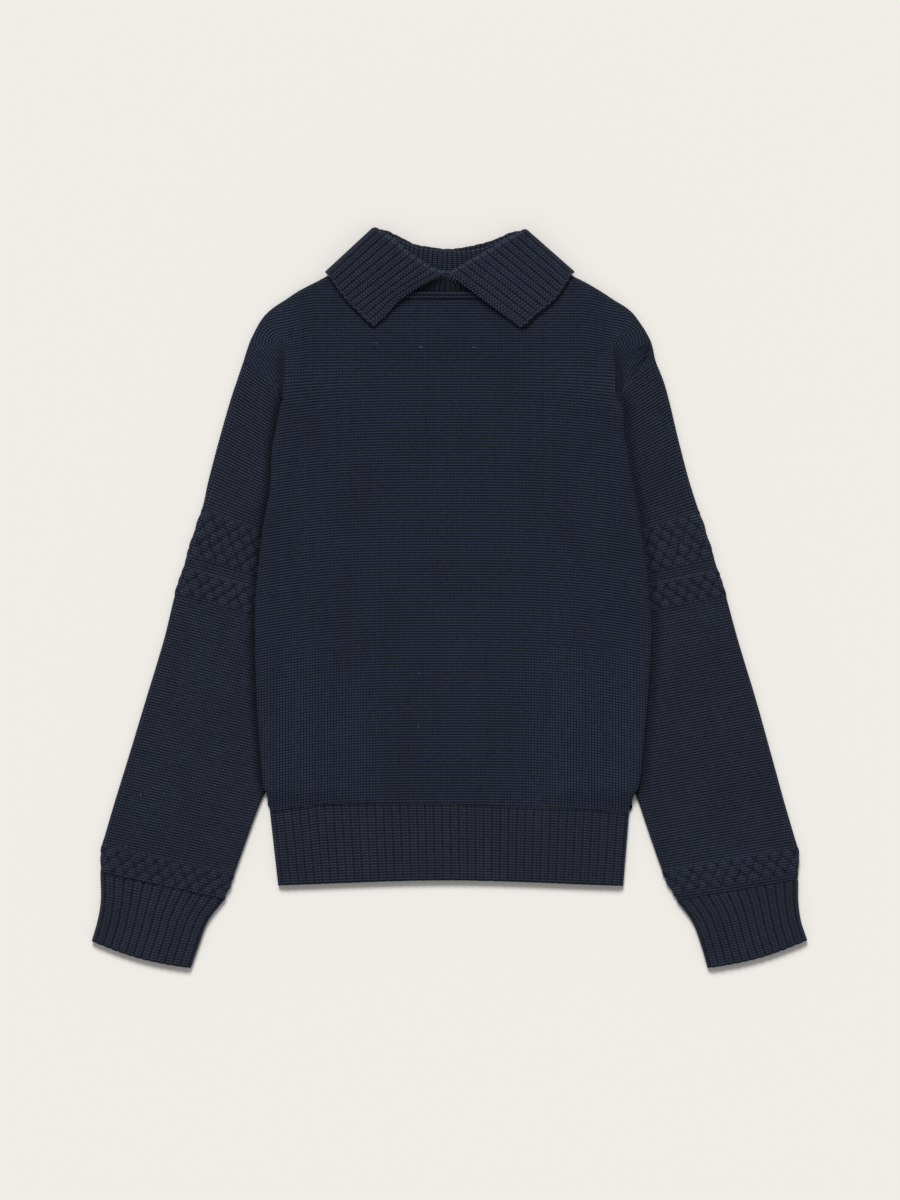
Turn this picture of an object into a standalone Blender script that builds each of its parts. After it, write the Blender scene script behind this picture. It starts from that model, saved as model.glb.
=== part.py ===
"""A knitted navy sweater with a turned-down ribbed collar, laid flat, face up.

Across is +X, up towards the collar is +Y and away from the surface is +Z.
Tables are in millimetres from the middle of the garment and are scaled to metres
when each mesh is made. The underside rests on the plane Z = 0.
"""

import math

import bmesh
import bpy
import numpy as np

MILLIMETRE = 0.001

# Cloth and seams, in millimetres
WALL = 3.0
SEAM_GAP = 0.4
LAYER_GAP = 0.3
EDGE_ROLL = 4.0
SEAM_ROLL = 0.8

# Heights of the laid layers
SLEEVE_HEIGHT = 6.6
BACK_TOP = 3.0
COLLAR_LIFT = 4.2
FRONT_OVER_BACK = 3.6
HEM_OVER_FRONT = 0.2
FRONT_EASE = 2.3
FOLD_TOP = 12.4
FOLD_REACH = 104.0
FOLD_RISE = 36.0

# How far the back's shoulder edge stands in from the front's, along the edge and beside the neck
BACK_INSET = (4.4, 3.9)
BACK_NECK_INSET = (9.0, 15.0)

# Ribs and bobbles
RIB_RAISE = 0.9
HEM_RIBS = 42
CUFF_RIBS = 12
WING_RIBS = 10
BOBBLE_RAISE = 1.4
BOBBLE_COLUMNS = 20

# Collar
FALL_HALF = 1.6
STAND_HALF = 1.5
WING_FOLD_HEIGHT = 18.8
WING_EDGE_HEIGHT = 13.1
BACK_FALL_HEIGHT = 1.6
TRIM_HEIGHT = 11.2
WRAP_ACROSS = 4.0

# Side folds of the body from the hem seam up to the armhole seam: left x, left y, right x, right y
SIDE_FOLDS = (
    (-188, -226, 189, -228),
    (-192, -206, 194, -208),
    (-196, -192, 201, -192),
    (-202, -108, 209, -108),
    (-204, -34, 213, -43),
    (-203, 3, 211, -3),
    (-200, 34, 209, 24),
    (-196, 69, 206, 45),
    (-193, 87, 200, 81),
    (-188, 113, 194, 113),
    (-186, 155, 187, 155),
    (-182, 176, 185, 167),
    (-178, 197, 183, 197),
    (-175, 209, 180, 216),
)

# Armhole seam that shows above the side fold
ARMHOLE_SEAMS = (
    (-175, 209, 180, 216),
    (-188, 228, 189, 225),
    (-201, 240, 201, 238),
    (-216, 249, 217, 249),
)

# Shoulder edge from the sleeve up to the side of the neck
SHOULDERS = (
    (-216, 249, 217, 249),
    (-209, 270, 212, 270),
    (-198, 291, 199.5, 291),
    (-187, 303, 189, 303),
    (-172, 313, 174, 312.5),
    (-160, 321, 161, 321),
    (-149, 327, 151, 327),
    (-138, 332.5, 142, 332),
    (-124, 335.2, 126, 335.6),
    (-109, 346, 109, 346),
    (-90.5, 358, 90.5, 358),
)

# Neck edges of the panels, left to right
FRONT_NECK = (
    (-90.5, 358),
    (-82, 343),
    (-66, 327.5),
    (-49, 321.5),
    (-30, 320.8),
    (1, 320.8),
    (31, 320.8),
    (50, 321.5),
    (67, 327.5),
    (83, 343),
    (90.5, 358),
)
BACK_NECK = (
    (-90.5, 358),
    (-74, 342.6),
    (-62, 341.5),
    (-40, 339),
    (0, 337.5),
    (40, 339),
    (62, 341.5),
    (74, 342.6),
    (90.5, 358),
)

# Seam between body and hem rib, and the lower edge of the hem rib, left to right
HEM_SEAM = (
    (-188, -226),
    (-153, -221),
    (-131, -217.5),
    (-70, -217),
    (-16, -217),
    (26, -218.5),
    (81, -221),
    (136, -223),
    (164, -225),
    (189, -228),
)
HEM_EDGE = ((-179.5, -302.5), (-156, -301.5), (0, -297), (159, -302), (183, -303))

# Each side's sleeve sections from armhole to cuff seam: outer x, outer y, inner x, inner y, bow
SLEEVE_LEFT = (
    (-216, 249, -138, 102, 1.0),
    (-223, 228, -136.5, 93, 0.75),
    (-230, 207, -135, 85, 0.5),
    (-242, 165, -133, 72, 0.25),
    (-253, 123, -132, 58, 0.1),
    (-260, 92, -132, 45, 0.0),
    (-275.5, 45, -141, 6, 0.0),
    (-279.5, 30, -144, -6, 0.0),
    (-288.5, 2, -151, -34, 0.0),
    (-300, -45, -158, -74, 0.0),
    (-319, -108, -172, -137, 0.0),
    (-338, -171, -187, -190, 0.0),
    (-351, -213, -199, -217, 0.0),
    (-361.5, -249, -212, -252, 0.0),
    (-365, -262, -224.5, -287, 0.0),
    (-366, -289, -236.5, -317, 0.0),
)
SLEEVE_RIGHT = (
    (217, 249, 139, 102, 1.0),
    (225.5, 228, 137.5, 93, 0.75),
    (231.5, 207, 136, 85, 0.5),
    (241.5, 165, 134, 74, 0.25),
    (252.5, 123, 133, 64, 0.1),
    (264, 87, 133, 53, 0.0),
    (279, 40, 141, 16, 0.0),
    (284.5, 23, 144, -3, 0.0),
    (292.5, -3, 151, -37, 0.0),
    (304, -45, 159, -74, 0.0),
    (323, -108, 173, -137, 0.0),
    (340.5, -171, 190, -192, 0.0),
    (352, -213, 200, -217, 0.0),
    (362.5, -249, 212.5, -254, 0.0),
    (367, -267, 225.5, -290, 0.0),
    (366.5, -297, 240, -318.5, 0.0),
)

# Armhole curve of the sleeve head, left and right
SLEEVE_HEADS = (
    (-216, 249, 217, 249),
    (-201, 240, 201, 238),
    (-188, 228, 189, 225),
    (-175, 209, 180, 216),
    (-160, 175, 163, 175),
    (-148, 140, 149, 140),
    (-138, 102, 139, 102),
)

# Stations along a sleeve, as rows of its table, and whether a row of bobbles is raised there
SLEEVE_STATIONS = (
    (0.0, 0),
    (0.5, 0),
    (1.0, 0),
    (2.0, 0),
    (3.0, 0),
    (4.0, 0),
    (5.0, 0),
    (5.1, 1),
    (5.3, 1),
    (5.5, 1),
    (5.7, 1),
    (5.9, 1),
    (6.0, 0),
    (7.0, 0),
    (7.17, 1),
    (7.5, 1),
    (7.83, 1),
    (8.0, 0),
    (9.0, 0),
    (10.0, 0),
    (11.0, 0),
    (12.0, 0),
    (13.0, 0),
    (14.0, 0),
    (14.17, 1),
    (14.5, 1),
    (14.83, 1),
    (15.0, 0),
)

# Cuff sections from its seam to its open end: outer x, outer y, inner x, inner y, bow
CUFF_LEFT = (
    (-366, -289, -236.5, -317, 0.0),
    (-365.5, -318, -254, -340, 0.0),
    (-369, -340, -263, -363, 0.02),
    (-375, -361, -272, -389, 0.04),
)
CUFF_RIGHT = (
    (366.5, -297, 240, -318.5, 0.0),
    (366.5, -318, 256, -340, 0.0),
    (369.5, -340, 265, -363, 0.02),
    (376, -360, 272.5, -389, 0.04),
)

# Side edges of the back panel beside the sleeves, from the hem seam to the shoulder
BACK_SIDES = (
    (-178.5, -216.5, 179.5, -218),
    (-186, -208, 188, -210),
    (-177.5, -167, 177, -167),
    (-163.5, -104, 161.5, -104),
    (-148.5, -34, 146, -34),
    (-137, 6, 135, 6),
    (-127, 45, 127, 45),
    (-128.5, 71, 129, 71),
    (-136.3, 102, 135.8, 102),
    (-146.3, 140, 145.8, 140),
    (-158.3, 175, 160.2, 175),
    (-173.5, 209, 178.5, 216),
    (-186, 228.5, 187, 226.5),
    (-196, 239.5, 196, 238.5),
    (-203, 247, 203, 247),
)

# Collar fall, outer lines from the centre front to the side of the neck
FOLD_LEFT = ((-3, 341.5), (-15, 345), (-26, 351.5), (-41, 361.5), (-57, 375), (-73.5, 386.5))
FOLD_RIGHT = ((-0.5, 341), (12, 348), (22, 354), (39, 363.5), (56, 374), (75, 384.6))
EDGE_LEFT = ((-80, 286), (-85, 290), (-93, 298), (-104, 309), (-114, 321), (-126, 338))
EDGE_RIGHT = ((76, 285), (82, 288), (91, 297), (106, 309), (117, 321), (127.6, 338.3))
SIDE_PEAKS = ((-76.5, 389.5), (78, 387.5))
SIDE_CORNERS = ((-128.8, 341.0), (130.4, 341.3))
BACK_FOLD = (
    (-73.5, 386.5),
    (-65, 385),
    (-55, 380.3),
    (-46, 375.8),
    (-36, 371),
    (-20, 368),
    (-4, 366),
    (12, 367),
    (27, 370),
    (43, 374),
    (54, 378.4),
    (65, 383.3),
    (75, 384.6),
)
BACK_EDGE = (
    (-126, 338),
    (-117, 318),
    (-90, 303),
    (-45, 294),
    (0, 292),
    (45, 294),
    (90, 303),
    (118, 318),
    (127.6, 338.3),
)

# Collar stand, middle of its cloth from centre front round the left side to centre back:
# seam x, seam y, seam height, crest x, crest y, crest height
STAND_SECTIONS = (
    (1, 321.6, 9.3, 1, 336.0, 15.0),
    (-16, 321.6, 9.3, -12, 339.0, 15.0),
    (-32, 321.7, 9.3, -24.5, 344.6, 14.9),
    (-49.5, 322.4, 9.3, -38.5, 354.0, 14.9),
    (-65.4, 328.6, 9.3, -54, 365.0, 14.9),
    (-76, 338.3, 9.4, -66, 373.3, 14.9),
    (-82.6, 349.5, 9.6, -73, 377.5, 14.8),
    (-85.5, 357.0, 9.8, -75.8, 380.6, 13.6),
    (-87.5, 361.5, 7.7, -77.2, 382.0, 10.4),
    (-84.5, 357.0, 5.6, -75.4, 380.0, 7.3),
    (-76, 349.2, 5.75, -69, 376.5, 5.75),
    (-62, 343.4, 5.75, -55, 373.5, 5.75),
    (-40, 340.2, 5.75, -35, 365.8, 5.75),
    (-20, 339.2, 5.75, -18, 362.6, 5.75),
    (0, 338.8, 5.75, 0, 361.0, 5.75),
)

# Rolled neck trim along the front neck seam
TRIM_LINE = (
    (-80, 343),
    (-73, 332),
    (-62, 322.4),
    (-48, 318.2),
    (-24, 317.9),
    (1, 317.9),
    (26, 317.9),
    (49, 318.2),
    (63, 322.4),
    (74, 332),
    (80, 343),
)
TRIM_SECTION = ((-3.1, 0.4), (-2.4, 1.6), (0.0, 2.2), (2.4, 2.1), (3.1, 1.4), (0.2, 0.0))

# Colour, roughness
NAVY_PANEL = ((0.0150, 0.0183, 0.0305), 0.92)
NAVY_RIB = ((0.0162, 0.0197, 0.0325), 0.90)
NAVY_TRIM = ((0.0140, 0.0172, 0.0290), 0.92)


def smooth(value):
    """Ease from 0 to 1 as the value goes from 0 to 1."""
    value = np.clip(value, 0.0, 1.0)
    return value * value * (3.0 - 2.0 * value)


def rounded(points, fractions):
    """Points of a smooth curve through the given points, at fractions of its length."""
    points = np.asarray(points, float)
    padded = np.vstack((2 * points[0] - points[1], points, 2 * points[-1] - points[-2]))
    steps = np.linspace(0.0, 1.0, 9)[:, None]
    pieces = []
    for before, start, end, after in zip(padded[:-3], padded[1:-2], padded[2:-1], padded[3:]):
        leave = (end - before) / 2
        arrive = (after - start) / 2
        bend = 3 * (end - start) - 2 * leave - arrive
        close = 2 * (start - end) + leave + arrive
        pieces.append((start + steps * (leave + steps * (bend + steps * close)))[:-1])
    curve = np.vstack(pieces + [points[-1:]])
    lengths = np.linalg.norm(np.diff(curve, axis=0), axis=1)
    travelled = np.concatenate(([0.0], np.cumsum(lengths)))
    targets = np.asarray(fractions, float) * travelled[-1]
    return np.stack([np.interp(targets, travelled, curve[:, axis]) for axis in range(curve.shape[1])], 1)


def evenly(points, cells):
    """Evenly spaced points of a smooth curve."""
    return rounded(points, np.linspace(0.0, 1.0, cells + 1))


def half(table, side):
    """One side's x and y from a table that lists left and right together."""
    table = np.asarray(table, float)
    return table[:, :2] if side < 0 else table[:, 2:4]


def patch(lower, upper, left, right):
    """Rows of points that fill the four-sided area between two edges and two sides."""
    across = np.linspace(0.0, 1.0, len(lower))[None, :, None]
    along = np.linspace(0.0, 1.0, len(left))[:, None, None]
    ruled = (1 - along) * lower[None] + along * upper[None]
    crossed = (1 - across) * left[:, None] + across * right[:, None]
    corners = (1 - along) * ((1 - across) * lower[0] + across * lower[-1])
    corners = corners + along * ((1 - across) * upper[0] + across * upper[-1])
    return ruled + crossed - corners


def rim_of(rows, columns):
    """Grid positions of the border of a grid, once round."""
    rim = [(0, column) for column in range(columns)]
    rim += [(row, columns - 1) for row in range(1, rows)]
    rim += [(rows - 1, column) for column in range(columns - 2, -1, -1)]
    rim += [(row, 0) for row in range(rows - 2, 0, -1)]
    return rim


class Solid:
    """Points and faces of one closed body, joined strip by strip."""

    def __init__(self):
        self.points = []
        self.faces = []

    def add(self, points):
        """Store points and give their numbers back in the same arrangement."""
        points = np.asarray(points, float)
        first = sum(len(block) for block in self.points)
        self.points.append(points.reshape(-1, 3))
        return np.arange(first, first + points[..., 0].size).reshape(points.shape[:-1])

    def places(self, numbers):
        """Positions of numbered points."""
        return np.vstack(self.points)[np.asarray(numbers)]

    def grid(self, numbers, ring=False):
        """Quads between the rows of a grid of point numbers, closed into a tube for a ring."""
        if ring:
            numbers = np.hstack((numbers, numbers[:, :1]))
        for lower, upper in zip(numbers[:-1], numbers[1:]):
            for here in range(len(lower) - 1):
                self.faces.append((lower[here], lower[here + 1], upper[here + 1], upper[here]))

    def join(self, first, second, ring=False):
        """Triangles between two lines with unlike numbers of points."""
        first, second = list(first), list(second)
        if ring:
            first.append(first[0])
            second.append(second[0])
        near, far = self.places(first), self.places(second)
        here = there = 0
        steps, others = len(first) - 1, len(second) - 1
        while here < steps or there < others:
            ahead = math.dist(near[here + 1], far[there]) if here < steps else math.inf
            beside = math.dist(near[here], far[there + 1]) if there < others else math.inf
            if ahead <= beside:
                self.faces.append((first[here], first[here + 1], second[there]))
                here += 1
            else:
                self.faces.append((first[here], second[there + 1], second[there]))
                there += 1

    def make(self, name, look):
        """Turn the strips into a mesh object in the sweater's collection."""
        mesh = bpy.data.meshes.new(name)
        points = np.vstack(self.points) * MILLIMETRE
        mesh.from_pydata(points.tolist(), [], [tuple(int(n) for n in face) for face in self.faces])
        work = bmesh.new()
        work.from_mesh(mesh)
        bmesh.ops.triangulate(work, faces=work.faces[:])
        bmesh.ops.recalc_face_normals(work, faces=work.faces[:])
        work.to_mesh(mesh)
        work.free()
        mesh.shade_smooth()
        colour, roughness = look
        material = bpy.data.materials.new(name + "_knit")
        material.use_nodes = True
        shader = material.node_tree.nodes["Principled BSDF"]
        shader.inputs["Base Color"].default_value = (*colour, 1.0)
        shader.inputs["Roughness"].default_value = roughness
        shader.inputs["Metallic"].default_value = 0.0
        mesh.materials.append(material)
        thing = bpy.data.objects.new(name, mesh)
        bpy.data.collections["knitted_sweater"].objects.link(thing)
        return thing


def collar_lift(across, up):
    """How far the fallen collar under the neck lifts the cloth above it, from 0 to 1."""
    rows = smooth((up - 256.0) / 24.0)
    columns = 1.0 - smooth((np.abs(across) - 136.0) / 26.0)
    return rows * columns


def back_height(across, up):
    """Top of the back panel."""
    return BACK_TOP + COLLAR_LIFT * collar_lift(across, up)


def fold_line(side):
    """Distance of the side fold from the middle for each height, as two lists."""
    fold = half(SIDE_FOLDS, side)
    return fold[:, 1], np.abs(fold[:, 0])


def front_height(across, up):
    """Top of the front panel: flat in the middle, raised over the sleeves and the collar."""
    lift = np.maximum(collar_lift(across, up), collar_lift(across * 0.93, up + 9.0))
    ease = FRONT_EASE * (1.0 - lift) * smooth((up + 222.0) / 60.0)
    height = BACK_TOP + COLLAR_LIFT * lift + FRONT_OVER_BACK + ease
    left = np.interp(up, *fold_line(-1))
    right = np.interp(up, *fold_line(1))
    edge = np.where(across < 0, left, right)
    toward = smooth((np.abs(across) - (edge - FOLD_REACH)) / FOLD_RISE)
    over = smooth((up + 224.0) / 24.0) * (1.0 - smooth((up - 200.0) / 75.0))
    cap = smooth((np.abs(across) - 173.0) / 15.0) * smooth((up - 206.0) / 16.0)
    raised = height + (FOLD_TOP - height) * toward * over
    return raised + (SLEEVE_HEIGHT + LAYER_GAP - raised) * cap


def edge_normals(loop):
    """Outward directions in the plane for a closed loop that runs anticlockwise."""
    ahead = np.roll(loop, -1, axis=0) - loop
    behind = loop - np.roll(loop, 1, axis=0)
    ahead /= np.linalg.norm(ahead, axis=1)[:, None]
    behind /= np.linalg.norm(behind, axis=1)[:, None]
    along = ahead + behind
    along /= np.linalg.norm(along, axis=1)[:, None]
    return np.stack((along[:, 1], -along[:, 0]), 1)


def front_rim(point, role):
    """Roll radius and lowest height of the front panel's border at a point of its outline."""
    across, up = point
    if role == "seam":
        return SEAM_ROLL, float(front_height(across, up)) - WALL - 0.2
    if role == "shoulder":
        return EDGE_ROLL, LAYER_GAP + COLLAR_LIFT * float(collar_lift(across, up))
    return EDGE_ROLL, LAYER_GAP + SLEEVE_HEIGHT * float(smooth((up + 224.0) / 11.0))


def build_front():
    """Front panel: one sheet whose sides roll down over the sleeves and the shoulders."""
    side_cells, seam_cells = 18, 3
    shoulder_cells, neck_cells = 10, 14
    edges = {}
    for side in (-1, 1):
        fold = evenly(half(SIDE_FOLDS, side), side_cells)
        seam = evenly(half(ARMHOLE_SEAMS, side), seam_cells)
        edges[side] = np.vstack((fold, seam[1:]))
    left_shoulder = evenly(half(SHOULDERS, -1), shoulder_cells)
    right_shoulder = evenly(half(SHOULDERS, 1), shoulder_cells)[::-1]
    neck = evenly(FRONT_NECK, neck_cells)
    upper = np.vstack((left_shoulder, neck[1:], right_shoulder[1:]))
    lower = evenly(HEM_SEAM, len(upper) - 1)
    lower[:, 1] += SEAM_GAP * 1.5
    edges[-1][0], edges[1][0] = lower[0], lower[-1]
    outline = patch(lower, upper, edges[-1], edges[1])
    rows, columns = outline.shape[:2]
    rim = rim_of(rows, columns)
    loop = np.array([outline[spot] for spot in rim])
    normals = edge_normals(loop)
    roles = {}
    for spot in rim:
        row, column = spot
        if row == 0 and 0 < column < columns - 1:
            roles[spot] = "seam"
        elif row <= side_cells:
            roles[spot] = "fold"
        elif row < rows - 1 or shoulder_cells < column < columns - 1 - shoulder_cells:
            roles[spot] = "seam"
        else:
            roles[spot] = "shoulder"
    rolls = np.array([front_rim(point, roles[spot]) for spot, point in zip(rim, loop)])
    inset = loop - normals * rolls[:, :1]
    for spot, point in zip(rim, inset):
        outline[spot] = point
    sides = patch(outline[0], outline[-1], outline[:, 0], outline[:, -1])
    tops = front_height(sides[..., 0], sides[..., 1])
    sheet = np.dstack((sides, tops))

    solid = Solid()
    numbers = solid.add(sheet)
    solid.grid(numbers)
    border = [numbers[spot] for spot in rim]
    heights = np.array([tops[spot] for spot in rim])
    for turn in (45.0, 90.0):
        angle = math.radians(turn)
        out = inset + normals * rolls[:, :1] * math.sin(angle)
        down = heights - rolls[:, 0] * (1 - math.cos(angle))
        ring = solid.add(np.column_stack((out, down)))
        solid.grid(np.array((border, ring)), ring=True)
        border = ring
    ring = solid.add(np.column_stack((loop, rolls[:, 1])))
    solid.grid(np.array((border, ring)), ring=True)
    foot = solid.add(np.column_stack((loop - normals * WALL, rolls[:, 1])))
    solid.grid(np.array((ring, foot)), ring=True)
    under = sides.copy()
    for spot, point in zip(rim, loop - normals * (WALL + 0.05)):
        under[spot] = point
    below = np.dstack((under, tops - WALL))
    for spot, height in zip(rim, heights - WALL):
        below[spot][2] = height
    rows_kept = sorted({*range(0, 5), *range(5, rows - 6, 3), *range(rows - 6, rows)})
    columns_kept = sorted({*range(0, columns, 2), columns - 1})
    coarse = below[np.ix_(rows_kept, columns_kept)]
    inner = solid.add(coarse)
    solid.grid(inner)
    kept_rim = [inner[spot] for spot in rim_of(len(rows_kept), len(columns_kept))]
    corner = {spot: place for place, spot in enumerate(rim)}
    steps = pairs_round(rows_kept, columns_kept)
    inner_steps = zip(kept_rim, kept_rim[1:] + kept_rim[:1])
    for (first, second), pair in zip(steps, inner_steps):
        start, stop = corner[first], corner[second]
        if stop <= start:
            stop += len(rim)
        span = [foot[place % len(rim)] for place in range(start, stop + 1)]
        solid.join(span, pair)
    return solid.make("front_panel", NAVY_PANEL)


def pairs_round(rows_kept, columns_kept):
    """Grid positions of each step round the border of the coarse grid."""
    border = rim_of(len(rows_kept), len(columns_kept))
    spots = [(rows_kept[row], columns_kept[column]) for row, column in border]
    return list(zip(spots, spots[1:] + spots[:1]))


def plate(name, rows, top, bottom, look):
    """A sheet from rows of plan points with a height function for each face."""
    solid = Solid()
    upper = solid.add(np.dstack((rows, top(rows[..., 0], rows[..., 1]))))
    lower = solid.add(np.dstack((rows, bottom(rows[..., 0], rows[..., 1]))))
    solid.grid(upper)
    solid.grid(lower)
    rim = rim_of(*rows.shape[:2])
    solid.grid(np.array(([upper[spot] for spot in rim], [lower[spot] for spot in rim])), ring=True)
    return solid.make(name, look)


def build_back():
    """Back panel: lies on the surface between the sleeves and over the fallen collar."""
    sides = {side: evenly(half(BACK_SIDES, side), 22) for side in (-1, 1)}
    shoulders = {}
    for side in (-1, 1):
        line = half(SHOULDERS, side)
        inward = np.array((-side * BACK_INSET[0], -BACK_INSET[1]))
        last = line[-1] + (-side * BACK_NECK_INSET[0], -BACK_NECK_INSET[1])
        shoulders[side] = evenly(np.vstack((sides[side][-1], line[1:-1] + inward, last)), 8)
    neck = evenly(np.asarray(BACK_NECK) * (0.985, 1.0) - (0, SEAM_GAP * 1.5), 10)
    neck[0], neck[-1] = shoulders[-1][-1], shoulders[1][-1]
    upper = np.vstack((shoulders[-1], neck[1:], shoulders[1][::-1][1:]))
    lower = evenly(HEM_SEAM, len(upper) - 1)
    lower[:, 1] += SEAM_GAP
    lower[0], lower[-1] = sides[-1][0], sides[1][0]
    rows = patch(lower, upper, sides[-1], sides[1])
    return plate(
        "back_panel",
        rows,
        back_height,
        lambda across, up: back_height(across, up) - BACK_TOP,
        NAVY_PANEL,
    )


def section_row(table, head, station):
    """Plan line across a sleeve or cuff at a station of its table, from outer to inner edge."""
    table = np.asarray(table, float)
    values = rounded_rows(table, station)
    outer, inner, bow = values[:2], values[2:4], values[4]
    share = np.linspace(0.0, 1.0, 25)
    straight = outer + (inner - outer) * share[:, None]
    return straight + bow * head(share, outer, inner)


def rounded_rows(table, station):
    """One row between the rows of a table, on a smooth curve through them."""
    count = len(table)
    here = min(int(station), count - 2)
    part = station - here
    before = table[here - 1] if here > 0 else 2 * table[0] - table[1]
    after = table[here + 2] if here + 2 < count else 2 * table[-1] - table[-2]
    start, end = table[here], table[here + 1]
    leave, arrive = (end - before) / 2, (after - start) / 2
    bend = 3 * (end - start) - 2 * leave - arrive
    return start + part * (leave + part * (bend + part * (2 * (start - end) + leave + arrive)))


def armhole_bow(side):
    """How the armhole line departs from a straight line across the sleeve."""
    head = rounded(half(SLEEVE_HEADS, side), np.linspace(0.0, 1.0, 25))

    def depart(share, outer, inner):
        straight = head[0] + (head[-1] - head[0]) * share[:, None]
        return head - straight

    return depart


def end_bow(share, outer, inner):
    """Bulge of a cuff's open end towards the hand."""
    along = inner - outer
    away = np.array((-along[1], along[0]))
    away *= -math.copysign(1.0, away[1])
    return np.sin(share * math.pi)[:, None] * away


def tube_section(line, columns, lifts, lower_columns, height):
    """Outer ring of a flattened tube over a plan line: top left to right, then the flat underside."""
    length = np.linalg.norm(np.diff(line, axis=0), axis=1).sum()
    roll = height / 2
    corner = roll * (1 - math.sin(math.pi / 4))
    inside = np.linspace(roll, length - roll, columns + 1)
    places = np.concatenate(([0.0, corner], inside, [length - corner, length]))
    rolled = np.array((roll, height - corner))
    heights = np.concatenate((rolled, height + np.asarray(lifts), rolled[::-1]))
    below = np.linspace(length - roll, roll, lower_columns + 1)
    places = np.concatenate((places, [length - corner], below, [corner]))
    heights = np.concatenate((heights, [corner], np.zeros(lower_columns + 1), [corner]))
    return np.column_stack((rounded(line, places / length), heights))


def tube_lining(line, columns, height):
    """Inner ring of the same tube, a thin slit with the wall all round it."""
    length = np.linalg.norm(np.diff(line, axis=0), axis=1).sum()
    ceiling, floor = height - WALL, WALL - 0.2
    inside = np.linspace(WALL + 1.2, length - WALL - 1.2, columns + 1)
    places = np.concatenate(([WALL], inside, [length - WALL], inside[::-1]))
    middle = (ceiling + floor) / 2
    heights = np.concatenate(
        ([middle], np.full(columns + 1, ceiling), [middle], np.full(columns + 1, floor))
    )
    return np.column_stack((rounded(line, places / length), heights))


def build_tube(name, lines, lifts, height, kept, look):
    """A flattened tube through plan lines, with raised ribs or bobbles on its upper face."""
    columns = len(lifts[0]) - 1
    solid = Solid()
    outer = solid.add([tube_section(line, columns, lift, 6, height) for line, lift in zip(lines, lifts)])
    inner = solid.add([tube_lining(lines[place], 6, height) for place in kept])
    solid.grid(outer, ring=True)
    solid.grid(inner, ring=True)
    solid.join(outer[0], inner[0], ring=True)
    solid.join(outer[-1], inner[-1], ring=True)
    return solid.make(name, look)


def build_sleeve(side):
    """Sleeve with three bands of staggered bobbles on its upper face."""
    table = SLEEVE_LEFT if side < 0 else SLEEVE_RIGHT
    lines, lifts = [], []
    row = 0
    for station, raised in SLEEVE_STATIONS:
        line = section_row(table, armhole_bow(side), station)
        if station == 0.0:
            line = line + (side * 0.9, -0.8)
        lines.append(line)
        lift = np.zeros(BOBBLE_COLUMNS + 1)
        if raised:
            lift[(row % 2) :: 2] = BOBBLE_RAISE
            lift[[0, -1]] = 0.0
            row += 1
            spots = rounded(line, np.linspace(0.02, 0.98, BOBBLE_COLUMNS + 1))
            hidden = np.abs(spots[:, 0]) < np.interp(spots[:, 1], *fold_line(side)) + 9.0
            lift[hidden & (spots[:, 1] > -205.0)] = 0.0
        lifts.append(lift)
    kept = (0, 1, 2, 3, 4, 6, 9, 12, 15, 18, 20, 22, 24, 27)
    name = "sleeve_left" if side < 0 else "sleeve_right"
    return build_tube(name, lines, lifts, SLEEVE_HEIGHT, kept, NAVY_PANEL)


def build_cuff(side):
    """Ribbed cuff that narrows to the wrist and opens at its end."""
    table = CUFF_LEFT if side < 0 else CUFF_RIGHT
    lines = [section_row(table, end_bow, station) for station in (0.0, 0.6, 1.2, 2.0, 3.0)]
    inward = np.array((-side * 0.05, -1.0)) * SEAM_GAP
    lines[0] = lines[0] + inward
    pattern = np.tile((0.0, RIB_RAISE, RIB_RAISE), CUFF_RIBS)
    lift = np.append(pattern, 0.0)
    name = "cuff_left" if side < 0 else "cuff_right"
    return build_tube(name, lines, [lift] * len(lines), SLEEVE_HEIGHT, (0, 2, 3, 4), NAVY_RIB)


def build_hem_front():
    """Ribbed hem of the front, its sides rolled down round the hem of the back."""
    seam = np.asarray(HEM_SEAM, float) - (0.0, SEAM_GAP / 2)
    middle = (evenly(HEM_SEAM, 8) + evenly(HEM_EDGE, 8)) / 2
    top = BACK_TOP + FRONT_OVER_BACK + HEM_OVER_FRONT
    pattern = np.append(np.tile((0.0, RIB_RAISE, RIB_RAISE), HEM_RIBS), 0.0)
    outer, inner = [], []
    for line in (seam, middle, np.asarray(HEM_EDGE, float)):
        length = np.linalg.norm(np.diff(line, axis=0), axis=1).sum()
        corner = EDGE_ROLL * (1 - math.sin(math.pi / 4))
        inside = np.linspace(EDGE_ROLL, length - EDGE_ROLL, len(pattern))
        places = np.concatenate(([0, 0, corner], inside, [length - corner, length, length]))
        rolled = np.array((LAYER_GAP, top - EDGE_ROLL, top - corner))
        heights = np.concatenate((rolled, top + pattern, rolled[::-1]))
        outer.append(np.column_stack((rounded(line, places / length), heights)))
        lining = np.linspace(WALL + 1.0, length - WALL - 1.0, 9)
        places = np.concatenate(([WALL, WALL], lining, [length - WALL, length - WALL]))
        under = top - WALL
        turned = np.array((LAYER_GAP, under - 1.0))
        heights = np.concatenate((turned, np.full(len(lining), under), turned[::-1]))
        inner.append(np.column_stack((rounded(line, places / length), heights)))
    solid = Solid()
    outside = solid.add(outer)
    inside = solid.add(inner)
    solid.grid(outside)
    solid.grid(inside)
    solid.join(outside[0], inside[0])
    solid.join(outside[-1], inside[-1])
    solid.grid(np.array((outside[:, 0], inside[:, 0])))
    solid.grid(np.array((outside[:, -1], inside[:, -1])))
    return solid.make("hem_front", NAVY_RIB)


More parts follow.
